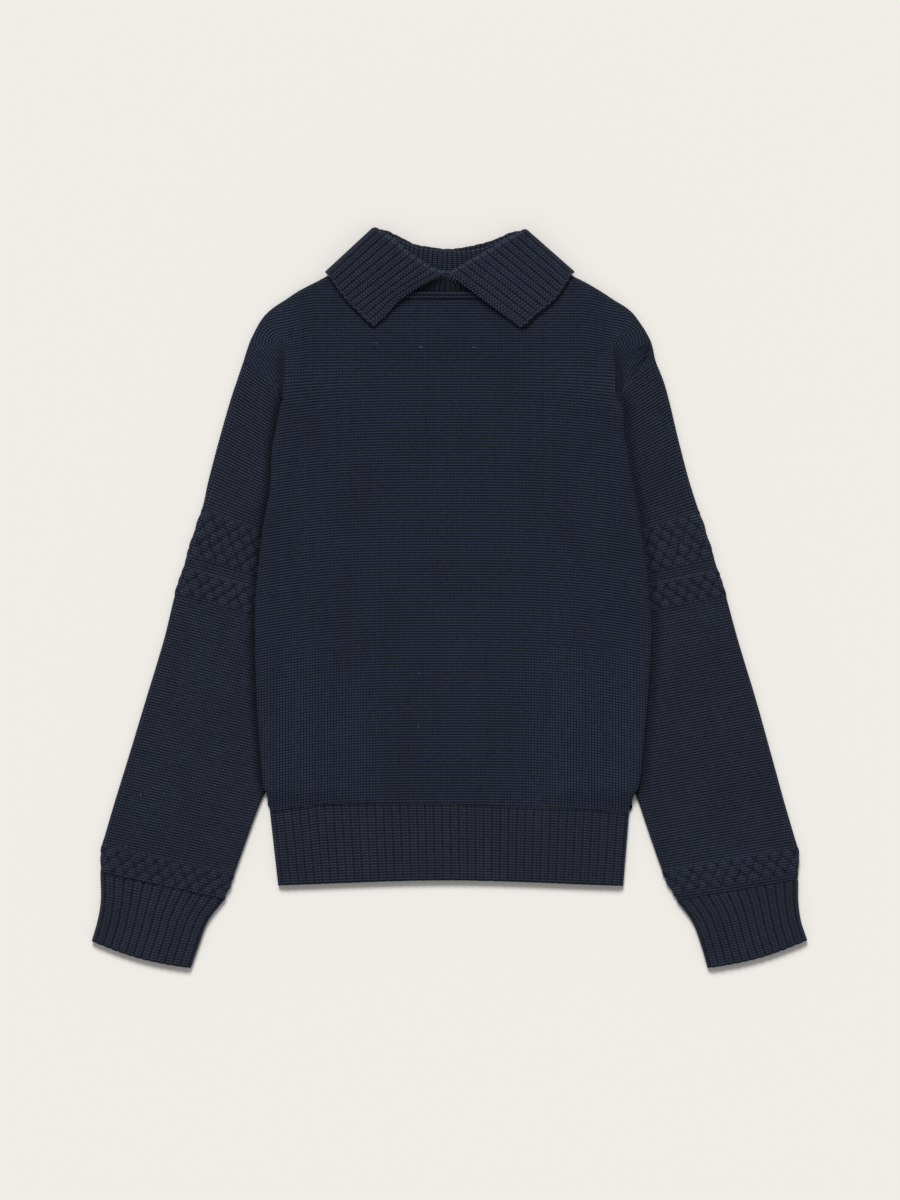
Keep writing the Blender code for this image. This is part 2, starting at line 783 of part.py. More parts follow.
def build_hem_back():
    """Hem of the back, plain where it rests on the surface."""
    upper = evenly(np.asarray(HEM_SEAM) * (0.974, 1.0) - (0.0, 0.8), 10)
    lower = evenly(np.asarray(HEM_EDGE) * (0.974, 1.0), 10)
    rows = np.stack((lower, (upper + lower) / 2, upper))

    def level(height):
        return lambda across, up: np.full_like(across, height)

    return plate("hem_back", rows, level(BACK_TOP), level(0.0), NAVY_RIB)


def sheet_normals(middle, ring=False):
    """Unit normals of a grid of points, across its sections and along its rows."""
    if ring:
        around = np.roll(middle, -1, axis=0) - np.roll(middle, 1, axis=0)
    else:
        around = np.gradient(middle, axis=0)
    down = np.gradient(middle, axis=1)
    normal = np.cross(around, down)
    return normal / np.linalg.norm(normal, axis=2)[..., None]


def wrapped(start, radius, centre, angle, outward):
    """A point of the half turn that the collar makes round the side of the neck."""
    place = np.asarray(start, float) + outward * WRAP_ACROSS * (math.cos(angle) - 1.0)
    return np.append(place, centre + radius * math.sin(angle))


def fall_lines():
    """Fold line and outer edge of the collar fall, section by section from split to split."""
    fold, edge = [], []
    count = WING_RIBS * 3
    rise = (WING_FOLD_HEIGHT - BACK_FALL_HEIGHT) / 2
    brink = (WING_EDGE_HEIGHT - BACK_FALL_HEIGHT) / 2

    def level(points, height):
        return np.column_stack((points, np.full(len(points), height)))

    def turn(side):
        outward = np.array((side * 0.7, 0.714))
        peak = SIDE_PEAKS[0 if side < 0 else 1]
        corner = SIDE_CORNERS[0 if side < 0 else 1]
        angles = np.radians((60, 30, 0, -30, -60))
        folded = [wrapped(peak, rise, BACK_FALL_HEIGHT + rise, a, outward) for a in angles]
        edged = [wrapped(corner, brink, BACK_FALL_HEIGHT + brink, a, outward) for a in angles]
        return np.array(folded), np.array(edged)

    left_fold, left_edge = turn(-1)
    right_fold, right_edge = turn(1)
    fold.append(level(evenly(FOLD_LEFT, count), WING_FOLD_HEIGHT))
    edge.append(level(evenly(EDGE_LEFT, count), WING_EDGE_HEIGHT))
    fold.append(left_fold)
    edge.append(left_edge)
    fold.append(level(evenly(BACK_FOLD, 12), BACK_FALL_HEIGHT))
    edge.append(level(evenly(BACK_EDGE, 12), BACK_FALL_HEIGHT))
    fold.append(right_fold[::-1])
    edge.append(right_edge[::-1])
    fold.append(level(evenly(FOLD_RIGHT, count), WING_FOLD_HEIGHT)[::-1])
    edge.append(level(evenly(EDGE_RIGHT, count), WING_EDGE_HEIGHT)[::-1])
    return np.vstack(fold), np.vstack(edge)


def build_fall():
    """Ribbed collar fall: two wings parted at the centre front and the hidden back between them."""
    fold, edge = fall_lines()
    along = np.gradient(fold, axis=0)
    outward = edge - fold
    flat = outward * (1, 1, 0)
    reach = flat / np.linalg.norm(flat, axis=1)[:, None]
    inward = -np.cross(along, reach)
    inward /= np.linalg.norm(inward, axis=1)[:, None]
    lip = ((FALL_HALF, 5.3), (FALL_HALF, 2.6), (FALL_HALF + 0.9, 0.8), (FALL_HALF + 3.0, 0.0))
    rows = [fold + reach * out + inward * depth for out, depth in lip]
    start = rows[-1]
    rows += [start + (edge - start) * share for share in (0.2, 0.45, 0.7, 0.9, 1.0)]
    middle = np.stack(rows, 1)
    normals = sheet_normals(middle)
    if normals[10, 5, 2] < 0:
        normals = -normals
    count = len(middle)
    rib = np.tile((0.0, 1.0, 1.0), count // 3 + 1)[:count]
    shown = smooth((normals[..., 2] + 0.1) / 0.4)
    lift = RIB_RAISE * rib[:, None] * shown
    lift[:, 0] = 0.0
    outer = middle + normals * (FALL_HALF + lift)[..., None]
    inner = middle - normals * FALL_HALF
    turns = {*range(30, 38), *range(count - 38, count - 30)}
    kept = sorted({*range(0, count, 3), count - 1} | turns)
    solid = Solid()
    outside = solid.add(outer)
    inside = solid.add(inner[kept])
    solid.grid(outside)
    solid.grid(inside)
    solid.grid(np.array((outside[0], inside[0])))
    solid.grid(np.array((outside[-1], inside[-1])))
    for column in (0, -1):
        for place, (first, second) in enumerate(zip(kept, kept[1:])):
            solid.join(outside[first : second + 1, column], inside[place : place + 2, column])
    return solid.make("collar_fall", NAVY_RIB)


def build_stand():
    """Collar stand: a ring from the neck seam up to the fold."""
    left = np.asarray(STAND_SECTIONS, float)
    right = left[1:-1][::-1] * (-1, 1, 1, -1, 1, 1) + (0, 0, 0, -0.6, -1.6, 0)
    sections = np.vstack((left, right))
    dense = []
    for place in range(len(sections)):
        before, here, after, beyond = np.roll(sections, 1 - place, axis=0)[:4]
        dense.append(here)
        dense.append((9 * (here + after) - before - beyond) / 16)
    dense = np.array(dense)
    rows = [dense[:, :3] + (dense[:, 3:] - dense[:, :3]) * share for share in (0.0, 0.5, 1.0)]
    middle = np.stack(rows, 1)
    normals = sheet_normals(middle, ring=True)
    if normals[4, 1, 2] < 0:
        normals = -normals
    solid = Solid()
    outside = solid.add(np.swapaxes(middle + normals * STAND_HALF, 0, 1))
    inside = solid.add(np.swapaxes(middle - normals * STAND_HALF, 0, 1))
    solid.grid(outside, ring=True)
    solid.grid(inside, ring=True)
    solid.grid(np.array((outside[0], inside[0])), ring=True)
    solid.grid(np.array((outside[-1], inside[-1])), ring=True)
    return solid.make("collar_stand", NAVY_RIB)


def build_trim():
    """Rolled trim over the front neck seam."""
    line = evenly(TRIM_LINE, 22)
    along = np.gradient(line, axis=0)
    along /= np.linalg.norm(along, axis=1)[:, None]
    beside = np.stack((-along[:, 1], along[:, 0]), 1)
    sections = []
    for point, away in zip(line, beside):
        sections.append([(*(point + away * out), TRIM_HEIGHT + up) for out, up in TRIM_SECTION])
    solid = Solid()
    numbers = solid.add(sections)
    solid.grid(numbers, ring=True)
    for end in (numbers[0], numbers[-1]):
        solid.faces.append(tuple(end))
    return solid.make("neck_trim", NAVY_TRIM)


def settle(things):
    """Move the garment so that its middle is over the origin and it rests on Z = 0."""
    points = [np.array([vertex.co for vertex in thing.data.vertices]) for thing in things]
    everything = np.vstack(points)
    low, high = everything.min(axis=0), everything.max(axis=0)
    shift = np.array(((low[0] + high[0]) / 2, (low[1] + high[1]) / 2, low[2]))
    for thing, block in zip(things, points):
        thing.data.vertices.foreach_set("co", (block - shift).ravel())
        thing.data.update()


def main():
    """Clear the scene and build each knitted piece in wearing order, from the back up."""
    for thing in list(bpy.data.objects):
        bpy.data.objects.remove(thing, do_unlink=True)
    collection = bpy.data.collections.new("knitted_sweater")
    bpy.context.scene.collection.children.link(collection)
    things = [build_back(), build_hem_back()]
    for side in (-1, 1):
        things += [build_sleeve(side), build_cuff(side)]
    things += [build_front(), build_hem_front(), build_stand(), build_fall(), build_trim()]
    settle(things)


main()
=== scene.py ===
"""Looks of a navy knitted sweater with a turned-down ribbed collar, laid flat on a pale floor.

The tables hold the garment's own sizes in millimetres from its middle, and the frame gives
where that middle lies. Each surface carries a map of its wales and courses, which the relief
tree raises into ridges, ribs and bobbles and the yarn finish turns into stitches.
"""

import logging
import math
from dataclasses import dataclass
from dataclasses import field
from enum import Enum
from typing import Callable
from typing import Sequence

import bmesh
import bpy
import numpy as np
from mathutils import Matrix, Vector
from mathutils.geometry import delaunay_2d_cdt


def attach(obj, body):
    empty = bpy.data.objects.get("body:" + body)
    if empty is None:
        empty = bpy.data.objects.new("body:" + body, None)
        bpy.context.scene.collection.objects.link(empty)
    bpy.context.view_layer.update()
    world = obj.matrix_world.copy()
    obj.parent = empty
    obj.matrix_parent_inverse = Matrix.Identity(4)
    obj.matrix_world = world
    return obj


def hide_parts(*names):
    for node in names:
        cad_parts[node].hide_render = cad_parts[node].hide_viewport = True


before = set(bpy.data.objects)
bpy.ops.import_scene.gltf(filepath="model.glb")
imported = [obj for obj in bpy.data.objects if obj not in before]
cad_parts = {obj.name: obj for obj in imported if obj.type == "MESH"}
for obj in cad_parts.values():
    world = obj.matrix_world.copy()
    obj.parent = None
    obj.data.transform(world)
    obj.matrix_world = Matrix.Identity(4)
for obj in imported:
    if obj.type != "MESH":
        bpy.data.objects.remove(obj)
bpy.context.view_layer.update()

Socket = bpy.types.NodeSocket
Thing = bpy.types.Object

LOG = logging.getLogger("sweater")
MILLIMETRE = 0.001
FULL_TURN = 2.0 * math.pi
BODY = "root"
TABLE_MIDDLE = (-0.5, -0.1)

# Knit gauge, in millimetres
WALE = 3.15
COURSE = 2.85
RIB_WALES = 3.0

# Cloth and the heights of the laid layers, as in the solids
WALL = 3.0
SEAM_GAP = 0.4
LAYER_GAP = 0.3
EDGE_ROLL = 4.0
SEAM_ROLL = 0.8
SLEEVE_HEIGHT = 6.6
BACK_TOP = 3.0
COLLAR_LIFT = 4.2
FRONT_OVER_BACK = 3.6
HEM_OVER_FRONT = 0.2
FRONT_EASE = 2.3
FOLD_TOP = 12.4
FOLD_REACH = 104.0
FOLD_RISE = 36.0
BACK_INSET = (4.4, 3.9)
BACK_NECK_INSET = (9.0, 15.0)

# Angles in degrees at which a rolled edge and the side of a flattened tube are stepped
EDGE_TURNS = (25.0, 50.0, 72.0, 90.0)
TUBE_TURNS = (20.0, 45.0, 70.0, 90.0, 125.0, 160.0)

# Points across a tube's plain lining, on each of its faces
LINING_POINTS = 7

# Collar, as in the solids
WING_RIBS = 10
FALL_HALF = 1.6
STAND_HALF = 1.5
WING_FOLD_HEIGHT = 18.8
WING_EDGE_HEIGHT = 13.1
BACK_FALL_HEIGHT = 1.6
TRIM_HEIGHT = 11.2
WRAP_ACROSS = 4.0

# Side folds of the body from the hem seam up to the armhole seam: left x, left y, right x, right y
SIDE_FOLDS = (
    (-188, -226, 189, -228),
    (-192, -206, 194, -208),
    (-196, -192, 201, -192),
    (-202, -108, 209, -108),
    (-204, -34, 213, -43),
    (-203, 3, 211, -3),
    (-200, 34, 209, 24),
    (-196, 69, 206, 45),
    (-193, 87, 200, 81),
    (-188, 113, 194, 113),
    (-186, 155, 187, 155),
    (-182, 176, 185, 167),
    (-178, 197, 183, 197),
    (-175, 209, 180, 216),
)

# Armhole seam that shows above the side fold
ARMHOLE_SEAMS = (
    (-175, 209, 180, 216),
    (-188, 228, 189, 225),
    (-201, 240, 201, 238),
    (-216, 249, 217, 249),
)

# Shoulder edge from the sleeve up to the side of the neck
SHOULDERS = (
    (-216, 249, 217, 249),
    (-209, 270, 212, 270),
    (-198, 291, 199.5, 291),
    (-187, 303, 189, 303),
    (-172, 313, 174, 312.5),
    (-160, 321, 161, 321),
    (-149, 327, 151, 327),
    (-138, 332.5, 142, 332),
    (-130.5, 336.6, 133, 336.4),
    (-122, 340.5, 124, 340.5),
    (-109, 346, 109, 346),
    (-90.5, 358, 90.5, 358),
)

# Neck edges of the panels, left to right
FRONT_NECK = (
    (-90.5, 358),
    (-82, 343),
    (-66, 327.5),
    (-49, 321.5),
    (-30, 320.8),
    (1, 320.8),
    (31, 320.8),
    (50, 321.5),
    (67, 327.5),
    (83, 343),
    (90.5, 358),
)
BACK_NECK = (
    (-90.5, 358),
    (-74, 342.6),
    (-62, 341.5),
    (-40, 339),
    (0, 337.5),
    (40, 339),
    (62, 341.5),
    (74, 342.6),
    (90.5, 358),
)

# Seam between body and hem rib, and the lower edge of the hem rib, left to right
HEM_SEAM = (
    (-188, -226),
    (-153, -221),
    (-131, -217.5),
    (-70, -217),
    (-16, -217),
    (26, -218.5),
    (81, -221),
    (136, -223),
    (164, -225),
    (189, -228),
)
HEM_EDGE = ((-179.5, -302.5), (-156, -301.5), (0, -297), (159, -302), (183, -303))

# Outer and inner edges of the sleeves from armhole to cuff seam: left outer, left inner,
# right outer and right inner, each x and y
SLEEVE_EDGES = (
    (-216, 249, -138, 102, 217, 249, 139, 102),
    (-223, 228, -136.5, 93, 225.5, 228, 137.5, 93),
    (-230, 207, -135, 85, 231.5, 207, 136, 85),
    (-242, 165, -133, 72, 241.5, 165, 134, 74),
    (-253, 123, -132, 58, 252.5, 123, 133, 64),
    (-260, 92, -132, 45, 264, 87, 133, 53),
    (-275.5, 45, -141, 6, 279, 40, 141, 16),
    (-279.5, 30, -144, -6, 284.5, 23, 144, -3),
    (-288.5, 2, -151, -34, 292.5, -3, 151, -37),
    (-300, -45, -158, -74, 304, -45, 159, -74),
    (-319, -108, -172, -137, 323, -108, 173, -137),
    (-338, -171, -187, -190, 340.5, -171, 190, -192),
    (-351, -213, -199, -217, 352, -213, 200, -217),
    (-361.5, -249, -212, -252, 362.5, -249, 212.5, -254),
    (-365, -262, -224.5, -287, 367, -267, 225.5, -290),
    (-366, -289, -236.5, -317, 366.5, -297, 240, -318.5),
)

# Armhole curve of the sleeve head, left and right
SLEEVE_HEADS = (
    (-216, 249, 217, 249),
    (-201, 240, 201, 238),
    (-188, 228, 189, 225),
    (-175, 209, 180, 216),
    (-160, 175, 163, 175),
    (-148, 140, 149, 140),
    (-138, 102, 139, 102),
)

# How steeply the courses of a sleeve fall towards the body: distance down the sleeve,
# degrees on the left, degrees on the right
COURSE_FALLS = (
    (-190, 43, 42),
    (-150, 37, 36),
    (-100, 31, 30),
    (-50, 26, 24),
    (0, 20, 17),
    (45, 16.5, 12.5),
    (90, 14.7, 12),
    (200, 13.2, 11),
    (392, 12.2, 9.7),
)

# Raised bands of a sleeve: their upper and lower edge as distances down the sleeve
BOBBLE_BANDS = ((0.0, 45.0), (59.0, 86.0), (359.0, 386.0))

# Cuff sections from its seam to its open end: outer x, outer y, inner x, inner y, bow
CUFF_LEFT = (
    (-366, -289, -236.5, -317, 0.0),
    (-365.5, -318, -254, -340, 0.0),
    (-369, -340, -263, -363, 0.02),
    (-375, -361, -272, -389, 0.04),
)
CUFF_RIGHT = (
    (366.5, -297, 240, -318.5, 0.0),
    (366.5, -318, 256, -340, 0.0),
    (369.5, -340, 265, -363, 0.02),
    (376, -360, 272.5, -389, 0.04),
)

# Side edges of the back panel beside the sleeves, from the hem seam to the shoulder
BACK_SIDES = (
    (-178.5, -216.5, 179.5, -218),
    (-186, -208, 188, -210),
    (-177.5, -167, 177, -167),
    (-163.5, -104, 161.5, -104),
    (-148.5, -34, 146, -34),
    (-137, 6, 135, 6),
    (-127, 45, 127, 45),
    (-128.5, 71, 129, 71),
    (-136.3, 102, 135.8, 102),
    (-146.3, 140, 145.8, 140),
    (-158.3, 175, 160.2, 175),
    (-173.5, 209, 178.5, 216),
    (-186, 228.5, 187, 226.5),
    (-196, 239.5, 196, 238.5),
    (-203, 247, 203, 247),
)

# Collar fall, outer lines from the centre front to the side of the neck
FOLD_LEFT = ((-3, 341.5), (-15, 345), (-26, 351.5), (-41, 361.5), (-57, 375), (-73.5, 386.5))
FOLD_RIGHT = ((-0.5, 341), (12, 348), (22, 354), (39, 363.5), (56, 374), (75, 384.6))
EDGE_LEFT = ((-80, 286), (-85, 290), (-93, 298), (-104, 309), (-114, 321), (-126, 338))
EDGE_RIGHT = ((76, 285), (82, 288), (91, 297), (106, 309), (117, 321), (127.6, 338.3))
SIDE_PEAKS = ((-76.5, 389.5), (78, 387.5))
SIDE_CORNERS = ((-128.8, 341.0), (130.4, 341.3))

# Bow of the left split edge: share of its length and how far it bows
SPLIT_BOW = (
    (0.0, 0.0),
    (0.15, 2.4),
    (0.31, 4.8),
    (0.5, 6.2),
    (0.63, 5.9),
    (0.74, 3.7),
    (0.84, 1.3),
    (1.0, 0.0),
)

# Turn of the fall's upper edge over the stand: how far out and how far in
LIP = (
    (1.9, 7.4),
    (1.6, 6.2),
    (1.55, 5.0),
    (1.6, 3.8),
    (1.75, 2.8),
    (2.1, 1.9),
    (2.7, 1.1),
    (3.5, 0.5),
    (4.6, 0.1),
)

# Collar fall behind the neck, its fold and its outer edge, left to right
BACK_FOLD = (
    (-73.5, 386.5),
    (-65, 385),
    (-55, 380.3),
    (-46, 375.8),
    (-36, 371),
    (-20, 368),
    (-4, 366),
    (12, 367),
    (27, 370),
    (43, 374),
    (54, 378.4),
    (65, 383.3),
    (75, 384.6),
)
BACK_EDGE = (
    (-126, 338),
    (-117, 318),
    (-90, 303),
    (-45, 294),
    (0, 292),
    (45, 294),
    (90, 303),
    (118, 318),
    (127.6, 338.3),
)

# Collar stand, middle of its cloth from centre front round the left side to centre back:
# seam x, seam y, seam height, crest x, crest y, crest height
STAND_SECTIONS = (
    (1, 321.6, 9.3, 1, 336.0, 15.0),
    (-16, 321.6, 9.3, -12, 339.0, 15.0),
    (-32, 321.7, 9.3, -24.5, 344.6, 14.9),
    (-49.5, 322.4, 9.3, -38.5, 354.0, 14.9),
    (-65.4, 328.6, 9.3, -54, 365.0, 14.9),
    (-76, 338.3, 9.4, -66, 373.3, 14.9),
    (-82.6, 349.5, 9.6, -73, 377.5, 14.8),
    (-85.5, 357.0, 9.8, -75.8, 380.6, 13.6),
    (-87.5, 361.5, 7.7, -77.2, 382.0, 10.4),
    (-84.5, 357.0, 5.6, -74.4, 382.4, 8.4),
    (-76, 349.2, 5.75, -66.5, 382.6, 8.1),
    (-62, 343.4, 5.75, -54, 377.9, 8.1),
    (-40, 340.2, 5.75, -35.5, 369.2, 8.1),
    (-20, 339.2, 5.75, -18, 366.2, 8.1),
    (0, 338.8, 5.75, 0, 364.6, 8.1),
)

# Rolled neck trim along the front neck seam
TRIM_LINE = (
    (-80, 343),
    (-73, 332),
    (-62, 322.4),
    (-48, 318.2),
    (-24, 317.9),
    (1, 317.9),
    (26, 317.9),
    (49, 318.2),
    (63, 322.4),
    (74, 332),
    (80, 343),
)

# Puckers beside the right armhole seam: start x, start y, end x, end y, depth
PUCKERS = (
    (194.2, 256.7, 207.9, 264.6, 0.8),
    (198.5, 251.5, 210.5, 260.4, 1.1),
    (194.3, 241.5, 208.4, 253.1, 1.2),
    (192.2, 233.6, 198.5, 238.4, 0.7),
)


class Side(Enum):
    """The sweater's left and right as the camera sees them."""

    LEFT = -1
    RIGHT = 1

    @property
    def word(self) -> str:
        """The side as part of a piece's name."""
        return self.name.lower()


class Stitch(Enum):
    """The knits that the garment is made of, and the bare yarn of its edges and seams."""

    PURL = "purl"
    RIB = "rib"
    CORD = "cord"
    YARN = "yarn"


def ease(value: np.ndarray | float) -> np.ndarray:
    """Ease from 0 to 1 as the value goes from 0 to 1.

    Args:
        value: One number or an array of them.

    Returns:
        The eased numbers.
    """
    value = np.clip(value, 0.0, 1.0)
    return value * value * (3.0 - 2.0 * value)


def ramp(value: np.ndarray | float, start: float, length: float) -> np.ndarray:
    """Ease from 0 at a start to 1 a length further on, or further back for a length below 0."""
    return ease((value - start) / length)


def bent(
    before: np.ndarray,
    start: np.ndarray,
    end: np.ndarray,
    after: np.ndarray,
    part: np.ndarray | float,
) -> np.ndarray:
    """Smooth way from one point of a row to the next.

    Args:
        before: The point before the start.
        start: The point that the way leaves.
        end: The point that it reaches.
        after: The point after the end.
        part: Shares of the way, from 0 to 1.

    Returns:
        The place at each share.
    """
    leave = (end - before) / 2
    arrive = (after - start) / 2
    bend = 3 * (end - start) - 2 * leave - arrive
    close = 2 * (start - end) + leave + arrive
    return start + part * (leave + part * (bend + part * close))


def curve_at(points: Sequence, fractions: Sequence) -> np.ndarray:
    """Points of a smooth curve through given points, at fractions of its length.

    Args:
        points: The points that the curve passes.
        fractions: Shares of the whole length, from 0 to 1.

    Returns:
        One row for each fraction.
    """
    points = np.asarray(points, float)
    padded = np.vstack((2 * points[0] - points[1], points, 2 * points[-1] - points[-2]))
    steps = np.linspace(0.0, 1.0, 17)[:, None]
    pieces = [bent(*padded[first : first + 4], steps)[:-1] for first in range(len(points) - 1)]
    curve = np.vstack(pieces + [points[-1:]])
    return along_line(curve, fractions)


def along_line(line: np.ndarray, fractions: Sequence) -> np.ndarray:
    """Points at fractions of the length of a line of short straight steps.

    Args:
        line: The line's points.
        fractions: Shares of the whole length, from 0 to 1.

    Returns:
        One row for each fraction.
    """
    lengths = np.linalg.norm(np.diff(line, axis=0), axis=1)
    travelled = np.concatenate(([0.0], np.cumsum(lengths)))
    targets = np.asarray(fractions, float) * travelled[-1]
    return np.stack([np.interp(targets, travelled, line[:, axis]) for axis in range(line.shape[1])], 1)


def length_of(line: np.ndarray) -> float:
    """Length of a line of points."""
    return float(np.linalg.norm(np.diff(line, axis=0), axis=1).sum())


def evenly(points: Sequence, cells: int) -> np.ndarray:
    """Evenly spaced points of a smooth curve through the given points."""
    return curve_at(points, np.linspace(0.0, 1.0, cells + 1))


def half(table: Sequence, side: int) -> np.ndarray:
    """One side's x and y from a table that lists left and right together."""
    table = np.asarray(table, float)
    return table[:, :2] if side < 0 else table[:, 2:4]


def at_height(points: np.ndarray, heights: np.ndarray | float) -> np.ndarray:
    """Plan points with their heights."""
    return np.column_stack((points, np.broadcast_to(heights, len(points))))


def stitch_map(wale: np.ndarray, course: np.ndarray | float, weight: np.ndarray | float) -> np.ndarray:
    """Wale, course and relief of each point, from arrays that spread to one shape."""
    return np.stack(np.broadcast_arrays(wale, course, weight), -1)


def beside_line(line: np.ndarray) -> np.ndarray:
    """Directions to the left of a line.

    Args:
        line: The line's points.

    Returns:
        A unit direction for each point.
    """
    along = np.gradient(line, axis=0)
    along /= np.linalg.norm(along, axis=1)[:, None]
    return np.stack((-along[:, 1], along[:, 0]), 1)


def bell(value: np.ndarray, width: np.ndarray | float) -> np.ndarray:
    """A soft bump of height 1 about zero."""
    return np.exp(-((value / width) ** 2))


def fold_edge(across: np.ndarray, up: np.ndarray) -> np.ndarray:
    """Distance from the middle to the body's side fold.

    Args:
        across: Places to the right, whose sign tells the side.
        up: Places towards the collar.

    Returns:
        The distance at each place.
    """
    lines = [half(SIDE_FOLDS, side) for side in (-1, 1)]
    left, right = (np.interp(up, line[:, 1], np.abs(line[:, 0])) for line in lines)
    return np.where(across < 0, left, right)


def lining_ring(width: float, ceiling: float, floor: float) -> tuple:
    """The plain inner face of a flattened tube, once round.

    Args:
        width: The tube's width.
        ceiling: Height of the face's upper half.
        floor: Height of its lower half.

    Returns:
        Places across the tube and their heights.
    """
    rim = min(WALL, width / 3)
    ends = (rim + 1.2, width - rim - 1.2) if width > 2 * rim + 3 else (width / 2, width / 2)
    inner = np.linspace(*ends, LINING_POINTS)
    places = np.concatenate(([rim], inner, [width - rim], inner[::-1]))
    middle = (ceiling + floor) / 2
    upper, lower = np.full(LINING_POINTS, ceiling), np.full(LINING_POINTS, floor)
    return places, np.concatenate(([middle], upper, [middle], lower))


def inside(loop: np.ndarray, points: np.ndarray) -> np.ndarray:
    """Which points lie inside a closed outline.

    Args:
        loop: The outline's points, once round.
        points: Rows of x and y.

    Returns:
        True for each point inside.
    """
    found = np.zeros(len(points), bool)
    x, y = points[:, 0], points[:, 1]
    for (x0, y0), (x1, y1) in zip(loop, np.roll(loop, -1, axis=0)):
        if y0 == y1:
            continue
        crosses = (y0 > y) != (y1 > y)
        found ^= crosses & (x < (x1 - x0) * (y - y0) / (y1 - y0) + x0)
    return found


def outward(loop: np.ndarray, blur: int) -> np.ndarray:
    """Outward directions of a closed loop that runs anticlockwise, softened at its corners.

    Args:
        loop: The loop's points, once round.
        blur: How many neighbours on each side soften a direction.

    Returns:
        A unit direction for each point.
    """
    step = np.roll(loop, -1, axis=0) - np.roll(loop, 1, axis=0)
    normals = np.stack((step[:, 1], -step[:, 0]), 1)
    normals /= np.linalg.norm(normals, axis=1)[:, None]
    total = sum(np.roll(normals, shift, axis=0) for shift in range(-blur, blur + 1))
    return total / np.linalg.norm(total, axis=1)[:, None]


def in_scene(name: str, data: bpy.types.ID) -> Thing:
    """Put data into the scene as a new object.

    Args:
        name: The object's name.
        data: Its mesh, light or camera.

    Returns:
        The new object.
    """
    thing = bpy.data.objects.new(name, data)
    bpy.context.scene.collection.objects.link(thing)
    return thing


@dataclass
class Cloth:
    """Points, stitch map and faces of one piece, joined strip by strip, in millimetres.

    The stitch map gives each point its wale, its course and how far the relief raises it.
    The bobble map gives its place among the bobbles and how much of a bobble it takes.
    The painted shade map gives each point the shade painted into its colour and sheen in folds, creases
    and seams; below 0 it is a painted highlight.
    """

    points: list = field(default_factory=list)
    stitches: list = field(default_factory=list)
    bobbles: list = field(default_factory=list)
    painted_shades: list = field(default_factory=list)
    faces: list = field(default_factory=list)
    count: int = 0

    def add(
        self,
        points: np.ndarray,
        stitches: np.ndarray,
        bobbles: np.ndarray | None = None,
        painted_shades: np.ndarray | float = 0.0,
    ) -> np.ndarray:
        """Store points and give their numbers back in the same arrangement.

        Args:
            points: Places, with x, y and z last.
            stitches: Wale, course and relief for each point.
            bobbles: Bobble place and share for each point, or nothing for none.
            painted_shades: The shade painted on each point, up to 1, below 0 for a painted highlight.

        Returns:
            The numbers of the points.
        """
        points = np.asarray(points, float)
        shape = points.shape[:-1]
        stitches = np.broadcast_to(np.asarray(stitches, float), points.shape)
        if bobbles is None:
            bobbles = np.zeros(points.shape)
        flat = points.reshape(-1, 3)
        self.points.append(flat)
        self.stitches.append(stitches.reshape(-1, 3))
        self.bobbles.append(np.asarray(bobbles, float).reshape(-1, 3))
        self.painted_shades.append(np.broadcast_to(np.asarray(painted_shades, float), shape).reshape(-1))
        first = self.count
        self.count += len(flat)
        return np.arange(first, self.count).reshape(shape)

    def grid(self, numbers: np.ndarray, ring: bool = False) -> None:
        """Add quads between the rows of a grid of point numbers.

        Args:
            numbers: The grid of point numbers.
            ring: Whether each row closes on itself.
        """
        if ring:
            numbers = np.hstack((numbers, numbers[:, :1]))
        quads = np.stack((numbers[:-1, :-1], numbers[:-1, 1:], numbers[1:, 1:], numbers[1:, :-1]), -1)
        self.faces.extend(quads.reshape(-1, 4).tolist())

    def join(self, first: Sequence, second: Sequence, ring: bool = False) -> None:
        """Add triangles between two lines with unlike numbers of points.

        Args:
            first: Point numbers of one line.
            second: Point numbers of the other.
            ring: Whether both lines close on themselves.
        """
        first, second = [int(n) for n in first], [int(n) for n in second]
        if ring:
            first.append(first[0])
            second.append(second[0])
        everything = np.vstack(self.points)
        near, far = everything[first], everything[second]
        here = there = 0
        steps, others = len(first) - 1, len(second) - 1
        while here < steps or there < others:
            ahead = math.dist(near[here + 1], far[there]) if here < steps else math.inf
            beside = math.dist(near[here], far[there + 1]) if there < others else math.inf
            if ahead <= beside:
                self.faces.append((first[here], first[here + 1], second[there]))
                here += 1
            else:
                self.faces.append((first[here], second[there + 1], second[there]))
                there += 1

    def make(self, name: str) -> Thing:
        """Turn what was added into a mesh object in the frame's metres.

        Args:
            name: The object's name.

        Returns:
            The new object, with its stitch map as attributes and as a UV map.
        """
        points = (np.vstack(self.points) + (*TABLE_MIDDLE, 0.0)) * MILLIMETRE
        mesh = bpy.data.meshes.new(name)
        mesh.from_pydata(points.tolist(), [], self.faces)
        stitches = np.vstack(self.stitches)
        for title, block in (("stitch", stitches), ("bobble", np.vstack(self.bobbles))):
            attribute = mesh.attributes.new(title, "FLOAT_VECTOR", "POINT")
            attribute.data.foreach_set("vector", block.astype(np.float32).ravel())
        # The painted shade map becomes an attribute that darkens the material's colour and sheen
        attribute = mesh.attributes.new("painted_shade", "FLOAT", "POINT")
        attribute.data.foreach_set("value", np.concatenate(self.painted_shades).astype(np.float32))
        corners = np.empty(len(mesh.loops), np.int32)
        mesh.loops.foreach_get("vertex_index", corners)
        layer = mesh.uv_layers.new(name="stitches")
        layer.data.foreach_set("uv", stitches[corners, :2].astype(np.float32).ravel())
        point_out(mesh)
        mesh.shade_smooth()
        return in_scene(name, mesh)


